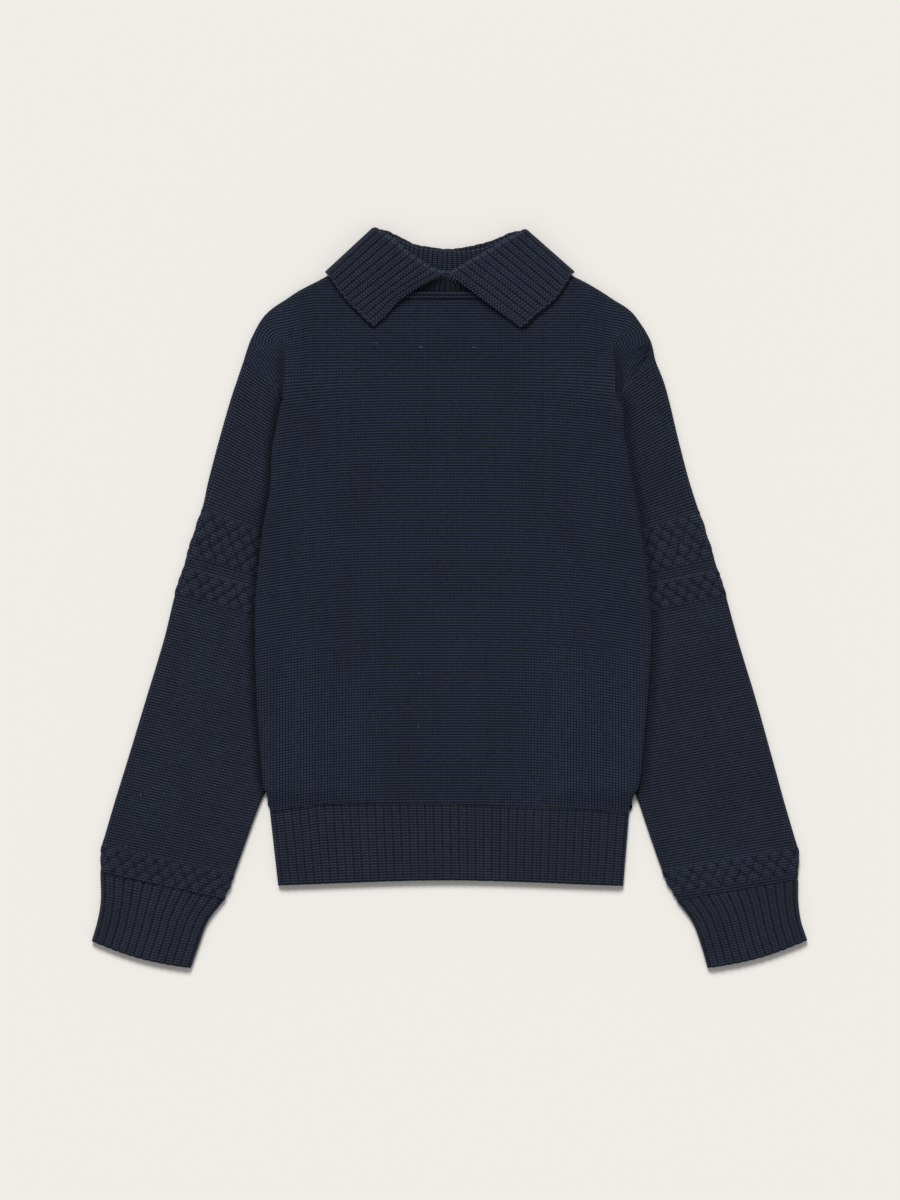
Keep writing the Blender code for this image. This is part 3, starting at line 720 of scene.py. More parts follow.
def point_out(mesh: bpy.types.Mesh) -> None:
    """Close what a filling left open and turn the faces outwards.

    Args:
        mesh: The mesh to mend.
    """
    work = bmesh.new()
    work.from_mesh(mesh)
    bmesh.ops.holes_fill(work, edges=[edge for edge in work.edges if edge.is_boundary], sides=0)
    bmesh.ops.recalc_face_normals(work, faces=work.faces[:])
    work.to_mesh(mesh)
    work.free()


class Tree:
    """A node tree under construction, with short calls for what the trees here use."""

    def __init__(self, tree: bpy.types.NodeTree) -> None:
        """Keep the tree."""
        self.tree = tree

    def node(self, kind: str, **settings: object) -> bpy.types.Node:
        """Add a node and set its properties.

        Args:
            kind: The node's type.
            settings: Property names and values.

        Returns:
            The new node.
        """
        made = self.tree.nodes.new(kind)
        for name, value in settings.items():
            setattr(made, name, value)
        return made

    def link(self, source: object, target: Socket) -> None:
        """Connect a socket to an input, or set the input to a plain value.

        Args:
            source: A socket or a value.
            target: The input that takes it.
        """
        if isinstance(source, Socket):
            self.tree.links.new(source, target)
        else:
            target.default_value = source

    def fed(self, kind: str, inputs: dict, **settings: object) -> Socket:
        """Add a node with its inputs and give its first output.

        Args:
            kind: The node's type.
            inputs: Sockets or values, by the names or numbers of the inputs.
            settings: Property names and values.

        Returns:
            The node's first output.
        """
        made = self.node(kind, **settings)
        for key, value in inputs.items():
            self.link(value, made.inputs[key])
        return made.outputs[0]

    def math(self, operation: str, *values: object, clamp: bool = False) -> Socket:
        """Add a maths node.

        Args:
            operation: The node's operation.
            values: Sockets or numbers for its inputs.
            clamp: Whether the result is kept from 0 to 1.

        Returns:
            The node's result.
        """
        return self.fed("ShaderNodeMath", dict(enumerate(values)), operation=operation, use_clamp=clamp)

    def wave(self, value: object, shift: object = 0.0) -> Socket:
        """Cosine of a value that repeats after each whole number, from -1 to 1."""
        turned = self.math("MULTIPLY_ADD", value, FULL_TURN, shift)
        return self.math("COSINE", turned)

    def split(self, vector: Socket) -> list:
        """The three numbers of a vector.

        Args:
            vector: The vector's socket.

        Returns:
            A socket for each number.
        """
        made = self.node("ShaderNodeSeparateXYZ")
        self.link(vector, made.inputs[0])
        return list(made.outputs)

    def blend(self, share: object, first: object, second: object) -> Socket:
        """Mix two colours.

        Args:
            share: How much of the second colour shows, from 0 to 1.
            first: The first colour.
            second: The second colour.

        Returns:
            The mixed colour.
        """
        made = self.node("ShaderNodeMix", data_type="RGBA")
        for value, title in ((share, "Factor"), (first, "A"), (second, "B")):
            self.link(value, made.inputs[title])
        return made.outputs["Result"]

    def noise(self, place: Socket, scale: float, detail: float) -> Socket:
        """Noise from 0 to 1 at a place.

        Args:
            place: The place that it is read at.
            scale: Its scale.
            detail: Its detail.

        Returns:
            The noise.
        """
        return self.fed("ShaderNodeTexNoise", {"Vector": place, "Scale": scale, "Detail": detail})

    def dome(self, across: object, along: object) -> Socket:
        """Height of the bobbles, rounded diamonds in staggered rows, from 0 between them to 1."""
        both = self.math("ADD", self.wave(across), self.wave(along))
        return self.math("POWER", self.math("MULTIPLY", self.math("ABSOLUTE", both), 0.5), 0.5)

    def ribs(self, wale: object) -> Socket:
        """Profile of the ribs: two knit wales, then a narrow purl valley.

        Args:
            wale: Wales across.

        Returns:
            The profile, from 0 in the valley to 1.
        """
        turn = self.math("FLOORED_MODULO", wale, RIB_WALES)
        rise = self.math("MULTIPLY", turn, 3.0, clamp=True)
        drop = self.math("MULTIPLY", self.math("SUBTRACT", 2.6, turn), 3.0, clamp=True)
        return self.math("MULTIPLY", rise, drop)


def geometry_tree(name: str, inputs: dict) -> Tree:
    """Start a geometry tree that takes a geometry and named inputs and gives a geometry.

    Args:
        name: The tree's name.
        inputs: Kinds of the further inputs, by their names.

    Returns:
        The tree, ready for its nodes.
    """
    group = bpy.data.node_groups.new(name, "GeometryNodeTree")
    for title, kind in {"Geometry": "Geometry", **inputs}.items():
        group.interface.new_socket(title, in_out="INPUT", socket_type=f"NodeSocket{kind}")
    group.interface.new_socket("Geometry", in_out="OUTPUT", socket_type="NodeSocketGeometry")
    return Tree(group)


def finished(tree: Tree, shape: Socket, finish: Socket, smooth: bool = False) -> bpy.types.NodeTree:
    """End a geometry tree: one plain mesh in one material.

    Args:
        tree: The tree.
        shape: The shape that it has made.
        finish: The material.
        smooth: Whether the mesh is shaded smooth.

    Returns:
        The finished tree.
    """
    whole = tree.fed("GeometryNodeRealizeInstances", {0: shape})
    if smooth:
        whole = tree.fed("GeometryNodeSetShadeSmooth", {"Geometry": whole})
    clad = tree.fed("GeometryNodeSetMaterial", {"Geometry": whole, "Material": finish})
    tree.link(clad, tree.node("NodeGroupOutput").inputs[0])
    return tree.tree


@dataclass(frozen=True)
class Relief:
    """Heights that a knit raises on its cloth, in millimetres."""

    purl: float = 0.0
    rib: float = 0.0
    bobble: float = 0.0

    def apply(self, thing: Thing, finish: bpy.types.Material) -> Thing:
        """Raise the knit on an object and give it its finish.

        Args:
            thing: The object, with stitch and bobble attributes.
            finish: The material for all of it.

        Returns:
            The same object with a plain mesh.
        """
        wanted = {
            "Purl height": self.purl * MILLIMETRE,
            "Rib height": self.rib * MILLIMETRE,
            "Bobble height": self.bobble * MILLIMETRE,
            "Finish": finish,
        }
        return shaped(thing, relief_tree(), wanted)


def shaped(thing: Thing, tree: bpy.types.NodeTree, wanted: dict) -> Thing:
    """Run a geometry tree on an object and keep what it makes as a plain mesh.

    Args:
        thing: The object.
        tree: The geometry tree.
        wanted: Values for the tree's inputs, by their names.

    Returns:
        The same object, with no modifiers left.
    """
    modifier = thing.modifiers.new(tree.name, "NODES")
    modifier.node_group = tree
    for item in tree.interface.items_tree:
        if item.in_out == "INPUT" and item.name in wanted:
            modifier[item.identifier] = wanted[item.name]
    graph = bpy.context.evaluated_depsgraph_get()
    plain = bpy.data.meshes.new_from_object(thing.evaluated_get(graph))
    thing.modifiers.clear()
    old = thing.data
    thing.data = plain
    plain.name = thing.name
    bpy.data.meshes.remove(old)
    return thing


def relief_tree() -> bpy.types.NodeTree:
    """Geometry nodes that push each point out along its normal by the height of its knit.

    Returns:
        The tree, made once.
    """
    known = bpy.data.node_groups.get("knit relief")
    if known:
        return known
    heights = dict.fromkeys(("Purl height", "Rib height", "Bobble height"), "Float")
    tree = geometry_tree("knit relief", {**heights, "Finish": "Material"})
    given = tree.node("NodeGroupInput").outputs
    charts = []
    for title in ("stitch", "bobble"):
        chart = tree.fed("GeometryNodeInputNamedAttribute", {"Name": title}, data_type="FLOAT_VECTOR")
        charts += tree.split(chart)
    wale, course, weight, across, along, share = charts
    nub = tree.math("MULTIPLY_ADD", tree.wave(wale), 0.15, 0.85)
    purl = tree.math("MULTIPLY", tree.math("MULTIPLY", tree.wave(course), nub), given["Purl height"])
    rib = tree.math("MULTIPLY", tree.ribs(wale), given["Rib height"])
    dome = tree.math("MULTIPLY", tree.dome(across, along), share)
    bobble = tree.math("MULTIPLY", dome, given["Bobble height"])
    plain = tree.math("MULTIPLY", purl, tree.math("SUBTRACT", 1.0, share))
    height = tree.math("MULTIPLY", tree.math("ADD", tree.math("ADD", plain, rib), bobble), weight)
    normal = tree.node("GeometryNodeInputNormal").outputs[0]
    push = tree.fed("ShaderNodeVectorMath", {0: normal, "Scale": height}, operation="SCALE")
    raised = tree.fed("GeometryNodeSetPosition", {"Geometry": given["Geometry"], "Offset": push})
    return finished(tree, raised, given["Finish"])


@dataclass(frozen=True)
class YarnFinish:
    """Dull navy wool, knitted in one of the garment's stitches."""

    stitch: Stitch
    light: tuple = (0.0415, 0.0528, 0.0900)
    dark: tuple = (0.0004, 0.0008, 0.0030)
    warm: tuple = (0.0330, 0.0270, 0.0480)
    melange: float = 0.32
    roughness: float = 0.9
    sheen: float = 0.07
    depth: float = 0.9
    # Share of colour and sheen that the painted shade takes away at full strength
    fold_shade: float = 0.78
    valley: float = 0.34
    slant: float = 1.3
    nub: float = 0.32
    side_nub: float = 0.0
    sheen_roughness: float = 0.6
    sheen_tint: tuple = (0.55, 0.62, 0.85)
    gloss: float = 0.15
    lint: tuple = (0.12, 0.14, 0.21)
    lint_scale: float = 34.0
    lint_size: float = 0.017
    fibre_scale: float = 700.0
    uneven_scale: float = 220.0
    cloud_scale: float = 13.0
    melange_scale: float = 330.0
    yarn_height: float = 0.72
    knit_cut: float = 0.47
    cord_cut: float = 0.4

    def material(self, name: str) -> bpy.types.Material:
        """Build the finish as a material.

        Args:
            name: The material's name.

        Returns:
            The material, made once for each name.
        """
        made = bpy.data.materials.get(name)
        if made:
            return made
        made = bpy.data.materials.new(name)
        made.use_nodes = True
        shader = made.node_tree.nodes["Principled BSDF"]
        shader.inputs["Roughness"].default_value = self.roughness
        shader.inputs["Sheen Roughness"].default_value = self.sheen_roughness
        shader.inputs["Sheen Tint"].default_value = (*self.sheen_tint, 1.0)
        shader.inputs["Specular IOR Level"].default_value = self.gloss
        tree = Tree(made.node_tree)
        wale, course, _ = tree.split(tree.node("ShaderNodeUVMap", uv_map="stitches").outputs[0])
        height = self.stitch_height(tree, wale, course)
        place = tree.node("ShaderNodeTexCoord").outputs["Object"]
        fibre = tree.noise(place, self.fibre_scale, 3.0)
        # Painted shade: the shade attribute darkens the colour and weakens the sheen, and lightens both
        # where it is below 0
        chart = tree.node("ShaderNodeAttribute", attribute_name="painted_shade")
        painted_shade_factor = tree.math("MULTIPLY_ADD", chart.outputs["Fac"], -self.fold_shade, 1.0)
        tree.link(tree.math("MULTIPLY", painted_shade_factor, self.sheen), shader.inputs["Sheen Weight"])
        colour = self.colour(tree, place, height, fibre)
        soft = tree.math("MULTIPLY", self.softness(tree, place, wale, course), painted_shade_factor)
        shaded = tree.fed("ShaderNodeVectorMath", {0: colour, "Scale": soft}, operation="SCALE")
        specks = tree.fed("ShaderNodeTexVoronoi", {"Vector": place, "Scale": self.lint_scale})
        spot = tree.math("LESS_THAN", specks, self.lint_size)
        tree.link(tree.blend(spot, shaded, (*self.lint, 1.0)), shader.inputs["Base Color"])
        loops = tree.math("MULTIPLY_ADD", fibre, 0.2, height)
        depth = self.depth * MILLIMETRE
        bump = tree.fed("ShaderNodeBump", {"Strength": 1.0, "Distance": depth, "Height": loops})
        tree.link(bump, shader.inputs["Normal"])
        return made

    def colour(self, tree: Tree, place: Socket, height: Socket | float, fibre: Socket) -> Socket:
        """Colour of the yarn: dark in the gaps, light on the loops, with warmer fibres mixed in.

        Args:
            tree: The material's tree.
            place: The place on the cloth.
            height: Height of the loops.
            fibre: Noise of the single fibres.

        Returns:
            The colour.
        """
        uneven = tree.noise(place, self.uneven_scale, 2.0)
        fuzzy = tree.math("MULTIPLY_ADD", fibre, 0.2, -0.1)
        fuzzy = tree.math("ADD", fuzzy, tree.math("MULTIPLY_ADD", uneven, 0.3, -0.15))
        tone = tree.math("ADD", height, fuzzy, clamp=True)
        yarn = tree.blend(tone, (*self.dark, 1.0), (*self.light, 1.0))
        patches = tree.noise(place, self.melange_scale, 1.0)
        tint = tree.math("MULTIPLY_ADD", patches, 3.2, -1.75, clamp=True)
        return tree.blend(tree.math("MULTIPLY", tint, self.melange), yarn, (*self.warm, 1.0))

    def softness(self, tree: Tree, place: Socket, wale: Socket, course: Socket) -> Socket:
        """Slow changes of tone over the cloth, in clouds and from wale to wale.

        Args:
            tree: The material's tree.
            place: The place on the cloth.
            wale: Wales across.
            course: Courses along.

        Returns:
            The factor on the colour.
        """
        across, along = tree.math("MULTIPLY", wale, 0.37), tree.math("MULTIPLY", course, 0.012)
        streaks = tree.noise(tree.fed("ShaderNodeCombineXYZ", {0: across, 1: along}), 1.0, 2.0)
        wales = tree.math("MULTIPLY_ADD", streaks, 0.3, 0.85)
        clouds = tree.math("MULTIPLY_ADD", tree.noise(place, self.cloud_scale, 4.0), 0.4, 0.8)
        return tree.math("MULTIPLY", clouds, wales)

    def stitch_height(self, tree: Tree, wale: Socket, course: Socket) -> Socket | float:
        """Height of the loops over the cloth, from 0 in a gap to 1 on the yarn.

        Args:
            tree: The material's tree.
            wale: Wales across.
            course: Courses along.

        Returns:
            The height.
        """
        if self.stitch is Stitch.PURL:
            return self.purl_height(tree, wale, course)
        if self.stitch is Stitch.YARN:
            return self.yarn_height
        if self.stitch is Stitch.CORD:
            return self.knit_height(tree, wale, course, self.cord_cut)
        turn = tree.math("FLOORED_MODULO", wale, RIB_WALES)
        knit = self.knit_height(tree, tree.math("MULTIPLY", turn, 2.0 / 2.6), course, self.knit_cut)
        rise = tree.math("MULTIPLY_ADD", tree.ribs(wale), 1.0 - self.valley, self.valley)
        return tree.math("MULTIPLY", knit, rise)

    def low_side(self, tree: Tree) -> Socket:
        """Share of the low sides of the body, where the wales stand out more than the courses.

        Args:
            tree: The material's tree.

        Returns:
            The share, from 0 in the middle to 1.
        """
        across, up, _ = tree.split(tree.node("ShaderNodeTexCoord").outputs["Object"])
        aside = tree.math("MULTIPLY_ADD", tree.math("ABSOLUTE", across), 12.0, -0.6, clamp=True)
        below = tree.math("MULTIPLY_ADD", up, -10.0, -0.3, clamp=True)
        return tree.math("MULTIPLY", aside, below)

    def knit_height(self, tree: Tree, wale: Socket, course: Socket, cut: float) -> Socket:
        """Height of knit wales, whose two legs meet in a point at each course.

        Args:
            tree: The material's tree.
            wale: Wales across.
            course: Courses along.
            cut: How deep the gaps between the legs are.

        Returns:
            The height.
        """
        centre = tree.math("ABSOLUTE", tree.math("SUBTRACT", tree.math("FRACT", wale), 0.5))
        rim = tree.math("POWER", tree.math("MULTIPLY", centre, 2.0), 4.0)
        column = tree.math("SUBTRACT", 1.0, tree.math("MULTIPLY", rim, 0.75))
        legs = tree.wave(course, tree.math("MULTIPLY", centre, -self.slant * FULL_TURN))
        return tree.math("MULTIPLY", column, tree.math("MULTIPLY_ADD", legs, cut, 0.94 - cut))

    def purl_height(self, tree: Tree, wale: Socket, course: Socket) -> Socket:
        """Height of reverse stockinette, and of the knit bobbles where the bobble map has a share.

        Args:
            tree: The material's tree.
            wale: Wales across.
            course: Courses along.

        Returns:
            The height.
        """
        swing = tree.math("MULTIPLY", tree.math("SINE", tree.math("MULTIPLY", wale, FULL_TURN)), 1.05)
        side = tree.math("MULTIPLY", self.low_side(tree), self.side_nub)
        half_ridge = tree.math("MULTIPLY_ADD", side, -0.85, 0.5)
        middle_ridge = tree.math("SUBTRACT", 1.0, half_ridge)
        ridge = tree.math("MULTIPLY_ADD", tree.wave(course, swing), half_ridge, middle_ridge)
        half_nub = tree.math("ADD", side, self.nub)
        nub = tree.math("MULTIPLY_ADD", tree.wave(wale), half_nub, tree.math("SUBTRACT", 1.08, half_nub))
        purl = tree.math("MULTIPLY", tree.math("POWER", ridge, 1.4), nub)
        chart = tree.node("ShaderNodeAttribute", attribute_name="bobble")
        across, along, share = tree.split(chart.outputs["Vector"])
        dome = tree.math("MULTIPLY", tree.dome(across, along), 1.5, clamp=True)
        dome = tree.math("MULTIPLY_ADD", dome, 0.95, 0.08)
        knit = tree.math("MULTIPLY", self.knit_height(tree, wale, course, self.knit_cut), dome)
        return tree.fed("ShaderNodeMix", {0: share, 2: purl, 3: knit}, data_type="FLOAT")


PANEL_FINISH = YarnFinish(Stitch.PURL, slant=1.0)
BODY_FINISH = YarnFinish(Stitch.PURL, light=(0.0345, 0.0459, 0.0826), nub=0.26, side_nub=0.17)
RIB_FINISH = YarnFinish(Stitch.RIB, light=(0.0350, 0.0448, 0.0748), valley=0.62, slant=0.8)
CUFF_FINISH = YarnFinish(Stitch.RIB, light=(0.0400, 0.0502, 0.0830), valley=0.42)
COLLAR_FINISH = YarnFinish(Stitch.RIB, light=(0.0475, 0.0585, 0.0980), valley=0.42)
STAND_FINISH = YarnFinish(Stitch.RIB, light=(0.0500, 0.0610, 0.1000), valley=0.1, slant=0.8)
# Painted shade: the trim's cord is near black to stand for the shade between its two plaits
CORD_SHADE_FINISH = YarnFinish(Stitch.CORD, light=(0.0070, 0.0100, 0.0190))
EDGE_FINISH = YarnFinish(Stitch.YARN, light=(0.0500, 0.0620, 0.1040), depth=0.3)
TRIM_YARN = YarnFinish(Stitch.YARN, light=(0.0460, 0.0565, 0.0945), depth=0.3)
PANEL_YARN = YarnFinish(Stitch.YARN, light=(0.0230, 0.0300, 0.0530), depth=0.3)
TACK_FINISH = YarnFinish(Stitch.YARN, light=(0.21, 0.25, 0.42), depth=0.2)


def collar_lift(across: np.ndarray, up: np.ndarray) -> np.ndarray:
    """How far the fallen collar under the neck lifts the cloth above it.

    Args:
        across: Places to the right of the middle.
        up: Places towards the collar.

    Returns:
        The lift at each place, from 0 to 1.
    """
    rows = ramp(up, 244.0, 46.0)
    columns = 1.0 - ramp(np.abs(across), 136.0, 26.0)
    return rows * columns


def back_height(across: np.ndarray, up: np.ndarray) -> np.ndarray:
    """Top of the back panel."""
    return BACK_TOP + COLLAR_LIFT * collar_lift(across, up)


def front_height(across: np.ndarray, up: np.ndarray) -> np.ndarray:
    """Top of the front panel: flat in the middle, raised over the sleeves and the collar.

    Args:
        across: Places to the right of the middle.
        up: Places towards the collar.

    Returns:
        The height at each place.
    """
    lift = np.maximum(collar_lift(across, up), collar_lift(across * 0.93, up + 9.0))
    rest = FRONT_EASE * (1.0 - lift) * ramp(up, -222.0, 60.0)
    height = BACK_TOP + COLLAR_LIFT * lift + FRONT_OVER_BACK + rest
    toward = ease((np.abs(across) - (fold_edge(across, up) - FOLD_REACH)) / FOLD_RISE)
    over = ramp(up, -224.0, 24.0) * (1.0 - ramp(up, 200.0, 75.0))
    cap = ramp(np.abs(across), 173.0, 15.0) * ramp(up, 206.0, 16.0)
    raised = height + (FOLD_TOP - height) * toward * over
    return raised + (SLEEVE_HEIGHT + LAYER_GAP - raised) * cap


@dataclass
class FrontPanel:
    """Body front in reverse stockinette, its sides rolled down over the sleeves.

    Courses run level across the chest, sink a little towards the sides and turn round the
    head of each shoulder in arcs.
    """

    column_step: float = WALE * 2.0 / 3.0
    row_step: float = COURSE / 2.0
    columns_a_side: int = 105
    first_row: int = -170
    last_row: int = 259
    arc_rows: int = 60
    hem_cells: int = 240
    fold_points: int = 320
    armhole_cells: int = 30
    shoulder_cells: int = 110
    neck_cells: int = 150
    side_sink: float = 11.0
    shoulder_sink: float = 7.0
    arc_centre: tuple = (173.5, 267.0)
    crease_lean: float = 0.045
    crease_foot: float = 209.0
    crease_depth: float = 2.7
    straight_from: float = 95.0
    straight_across: float = 124.0
    arc_ease: float = 0.14
    fold_swell: float = 1.1
    pucker_width: float = 1.7
    blur: int = 4
    lining_thinning: int = 23
    turns: tuple = EDGE_TURNS

    def sink(self, across: np.ndarray, up: np.ndarray) -> np.ndarray:
        """How far a course lies under its middle at a place.

        Args:
            across: Places to the right of the middle.
            up: Places towards the collar.

        Returns:
            The distance at each place.
        """
        across = np.abs(across)
        side = self.side_sink * (across / 190.0) ** 3 * (1.0 - ramp(up, 195.0, 65.0))
        return side + self.shoulder_sink * ramp(across, 138.0, 46.0) * ramp(up, 232.0, 45.0)

    def crease(self, up: np.ndarray) -> np.ndarray:
        """Distance from the middle to the crease beside the shoulder, at a height."""
        return self.arc_centre[0] + (self.arc_centre[1] - up) * self.crease_lean

    def in_arcs(self, across: np.ndarray, up: np.ndarray) -> np.ndarray:
        """Whether a place lies where the courses turn round the shoulder.

        Args:
            across: Places to the right of the middle.
            up: Places towards the collar.

        Returns:
            True for each such place.
        """
        across = np.abs(across)
        above = (across > self.arc_centre[0]) & (up >= self.arc_centre[1])
        beside = (across > self.crease(up)) & (up < self.arc_centre[1]) & (up > self.crease_foot)
        return above | beside

    def stretch(self, turn: np.ndarray) -> np.ndarray:
        """How densely the courses lie at an angle round the shoulder.

        Args:
            turn: Angles from straight up, in radians.

        Returns:
            The density, 1 on the arcs.
        """
        first = math.radians(self.straight_from)
        square = math.radians(self.straight_across)
        straight = np.cos(turn - square) / math.cos(first - square)
        loose = 1.0 - self.arc_ease * ease(turn)
        return loose * np.where(turn > first, np.maximum(straight, 0.3), 1.0)

    def stitch_at(self, across: np.ndarray, up: np.ndarray) -> tuple:
        """Wale and course of each place of the panel.

        Args:
            across: Distances to the right of the middle.
            up: Distances up from the middle.

        Returns:
            The wales and the courses.
        """
        side = np.where(across < 0, -1.0, 1.0)
        level = up + self.sink(across, up)
        east = np.abs(across) - self.arc_centre[0]
        north = level - self.arc_level
        reach = np.hypot(east, north)
        turn = np.arctan2(east, north)
        arcs = self.in_arcs(across, up)
        round_wale = side * (self.arc_centre[0] + reach * turn)
        round_course = self.arc_level + reach * self.stretch(turn)
        return np.where(arcs, round_wale, across) / WALE, np.where(arcs, round_course, level) / COURSE

    @property
    def arc_level(self) -> float:
        """Level of the course through the middle of the shoulder's arcs."""
        return self.arc_centre[1] + float(self.sink(*np.array(self.arc_centre)[:, None])[0])

    def unsunk(self, across: np.ndarray, level: np.ndarray) -> np.ndarray:
        """Places at which a course of the given level lies.

        Args:
            across: Places to the right of the middle.
            level: The course's place in the middle.

        Returns:
            The places towards the collar.
        """
        up = level.copy()
        for _ in range(8):
            up = level - self.sink(across, up)
        return up

    def lattice(self) -> np.ndarray:
        """Places of the points that carry the courses, two rows for each course.

        Returns:
            The plan points.
        """
        columns = np.arange(-self.columns_a_side, self.columns_a_side + 1) * self.column_step
        rows = np.arange(self.first_row, self.last_row + 1) * self.row_step
        across, level = np.meshgrid(columns, rows)
        flat = np.stack((across.ravel(), self.unsunk(across, level).ravel()), 1)
        flat = flat[~self.in_arcs(flat[:, 0], flat[:, 1])]
        first = math.ceil(self.arc_level / self.row_step) * self.row_step - self.arc_level
        arcs = []
        for row in range(self.arc_rows):
            rise = first + row * self.row_step
            if rise < 1.0:
                continue
            turns = np.arange(0.0, math.pi, self.column_step / rise)
            reach = rise / self.stretch(turns)
            east = self.arc_centre[0] + reach * np.sin(turns)
            north = self.arc_level + reach * np.cos(turns)
            for side in (-1.0, 1.0):
                arcs.append(np.stack((side * east, self.unsunk(east, north)), 1))
        turned = np.vstack(arcs)
        turned = turned[self.in_arcs(turned[:, 0], turned[:, 1])]
        near = np.abs(np.abs(turned[:, 0]) - self.crease(turned[:, 1])) < 0.8
        return np.vstack((flat, turned[~(near & (turned[:, 1] < self.arc_centre[1]))]))

    def outline(self) -> tuple:
        """The panel's outline once round, anticlockwise from the left end of the hem seam.

        Returns:
            The points, the roll radius of each and the lowest height of each.
        """
        hem = evenly(HEM_SEAM, self.hem_cells) + (0.0, 0.1)
        along_fold = np.linspace(0, 1, self.fold_points)
        sides = (SIDE_FOLDS, ARMHOLE_SEAMS, SHOULDERS)
        left, right = ([half(table, side) for table in sides] for side in (-1, 1))
        parts = [
            ("seam", hem),
            ("fold", curve_at(right[0], along_fold)),
            ("seam", evenly(right[1], self.armhole_cells)),
            ("shoulder", evenly(right[2], self.shoulder_cells)),
            ("seam", evenly(FRONT_NECK, self.neck_cells)[::-1]),
            ("shoulder", evenly(left[2], self.shoulder_cells)[::-1]),
            ("seam", evenly(left[1], self.armhole_cells)[::-1]),
            ("fold", curve_at(left[0], along_fold)[::-1]),
        ]
        points = np.vstack([line[:-1] for _, line in parts])
        roles = [role for role, line in parts for _ in line[:-1]]
        rolls = np.array([SEAM_ROLL if role == "seam" else EDGE_ROLL for role in roles])
        window = range(-self.blur, self.blur + 1)
        rolls = sum(np.roll(rolls, shift) for shift in window) / len(window)
        across, up = points.T
        tops = self.surface(across, up)
        over_sleeve = LAYER_GAP + (SLEEVE_HEIGHT + 0.6) * ramp(up, -224.0, 11.0)
        over_back = LAYER_GAP + COLLAR_LIFT * collar_lift(across, up)
        lows = np.where([role == "seam" for role in roles], tops - WALL - 0.6, over_sleeve)
        lows = np.where([role == "shoulder" for role in roles], over_back, lows)
        return points, rolls, lows

    def surface(self, across: np.ndarray, up: np.ndarray) -> np.ndarray:
        """Height of the dressed front: the solid's form with its folds, creases and puckers.

        Args:
            across: Places to the right of the middle.
            up: Places towards the collar.

        Returns:
            The height at each place.
        """
        height = front_height(across, up)
        beside = np.abs(across) - self.crease(up)
        fade = ease((self.arc_centre[1] + 8.0 - up) / 40.0) * ramp(up, 190.0, 16.0)
        width = np.where(beside > 0, 10.0, 2.4)
        dip = self.crease_depth * bell(beside, width)
        swell = 0.9 * bell(beside + 8.0, 6.0)
        return height + fade * (swell - dip) + self.fold_rise(across, up) - self.puckered(across, up)

    def puckered(self, across: np.ndarray, up: np.ndarray) -> np.ndarray:
        """How deep the puckers beside the right armhole seam go, in millimetres.

        Args:
            across: Places to the right.
            up: Places towards the collar.

        Returns:
            The depth at each place.
        """
        deep = np.zeros(np.shape(across))
        for start_x, start_y, end_x, end_y, depth in PUCKERS:
            run = np.array((end_x - start_x, end_y - start_y))
            place = ((across - start_x) * run[0] + (up - start_y) * run[1]) / (run @ run)
            place = np.clip(place, 0.0, 1.0)
            off = np.hypot(across - start_x - place * run[0], up - start_y - place * run[1])
            deep = np.maximum(deep, depth * (0.4 + 0.6 * place) * bell(off, self.pucker_width))
        return deep

    def painted_shade_at(self, across: np.ndarray, up: np.ndarray) -> np.ndarray:
        """Painted shade of a place: in the crease beside the shoulder, in a pucker and under the trim,
        with a painted highlight on the shoulder caps.

        Args:
            across: Places to the right of the middle.
            up: Places towards the collar.

        Returns:
            The painted shade at each place, below 0 for the painted highlight.
        """
        # Painted shade in the crease beside the shoulder, under the neck trim and in the puckers
        beside = np.abs(across) - self.crease(up)
        beside -= np.where(across > 0, 0.08, 0.0) * (self.arc_centre[1] - up)
        fade = 0.74 * ease((self.arc_centre[1] + 6.0 - up) / 34.0) * ramp(up, 203.0, 4.0)
        width = np.where(beside > 0, 6.0, 2.6)
        crease_shade = fade * bell(beside, width)
        within = np.abs(across) < 54.0
        trim_shadow = 0.7 * within * bell(up - 314.4, 1.3)
        # Painted highlight: the shoulder caps are made paler
        paler = 0.3 * ramp(np.abs(across), 150.0, 30.0) * ramp(up, 205.0, 20.0)
        puckers = np.clip(1.15 * self.puckered(across, up), 0.0, 1.0)
        return np.maximum(np.maximum(crease_shade, trim_shadow), puckers) - paler

    def fold_rise(self, across: np.ndarray, up: np.ndarray) -> np.ndarray:
        """How far the side folds stand above the solid's form."""
        near = bell(fold_edge(across, up) - np.abs(across) - 7.0, 8.0)
        return self.fold_swell * near * ramp(up, -222.0, 30.0) * ramp(up, 214.0, -20.0)

    def build(self) -> Thing:
        """Make the panel.

        Returns:
            The panel as an object without its relief.
        """
        loop, rolls, lows = self.outline()
        normals = outward(loop, self.blur)
        inset = loop - normals * rolls[:, None]
        lattice = self.lattice()
        lattice = lattice[inside(loop - normals * (rolls + 0.9)[:, None], lattice)]
        plan, triangles, spots = filled(inset, lattice)
        tops = self.surface(*plan.T)
        calm = np.abs(np.abs(plan[:, 0]) - self.crease(plan[:, 1])) / 2.4
        near_crease = (plan[:, 1] < self.arc_centre[1]) & (plan[:, 1] > 205.0)
        stitches = stitch_map(*self.stitch_at(*plan.T), np.where(near_crease, ease(calm), 1.0))
        cloth = Cloth()
        # The sheet carries painted shade in the crease, puckers and under the trim, and a painted
        # highlight on the caps
        sheet = cloth.add(at_height(plan, tops), stitches, None, self.painted_shade_at(*plan.T))
        cloth.faces.extend(sheet[triangles].tolist())
        border = sheet[spots]
        heights = tops[spots]
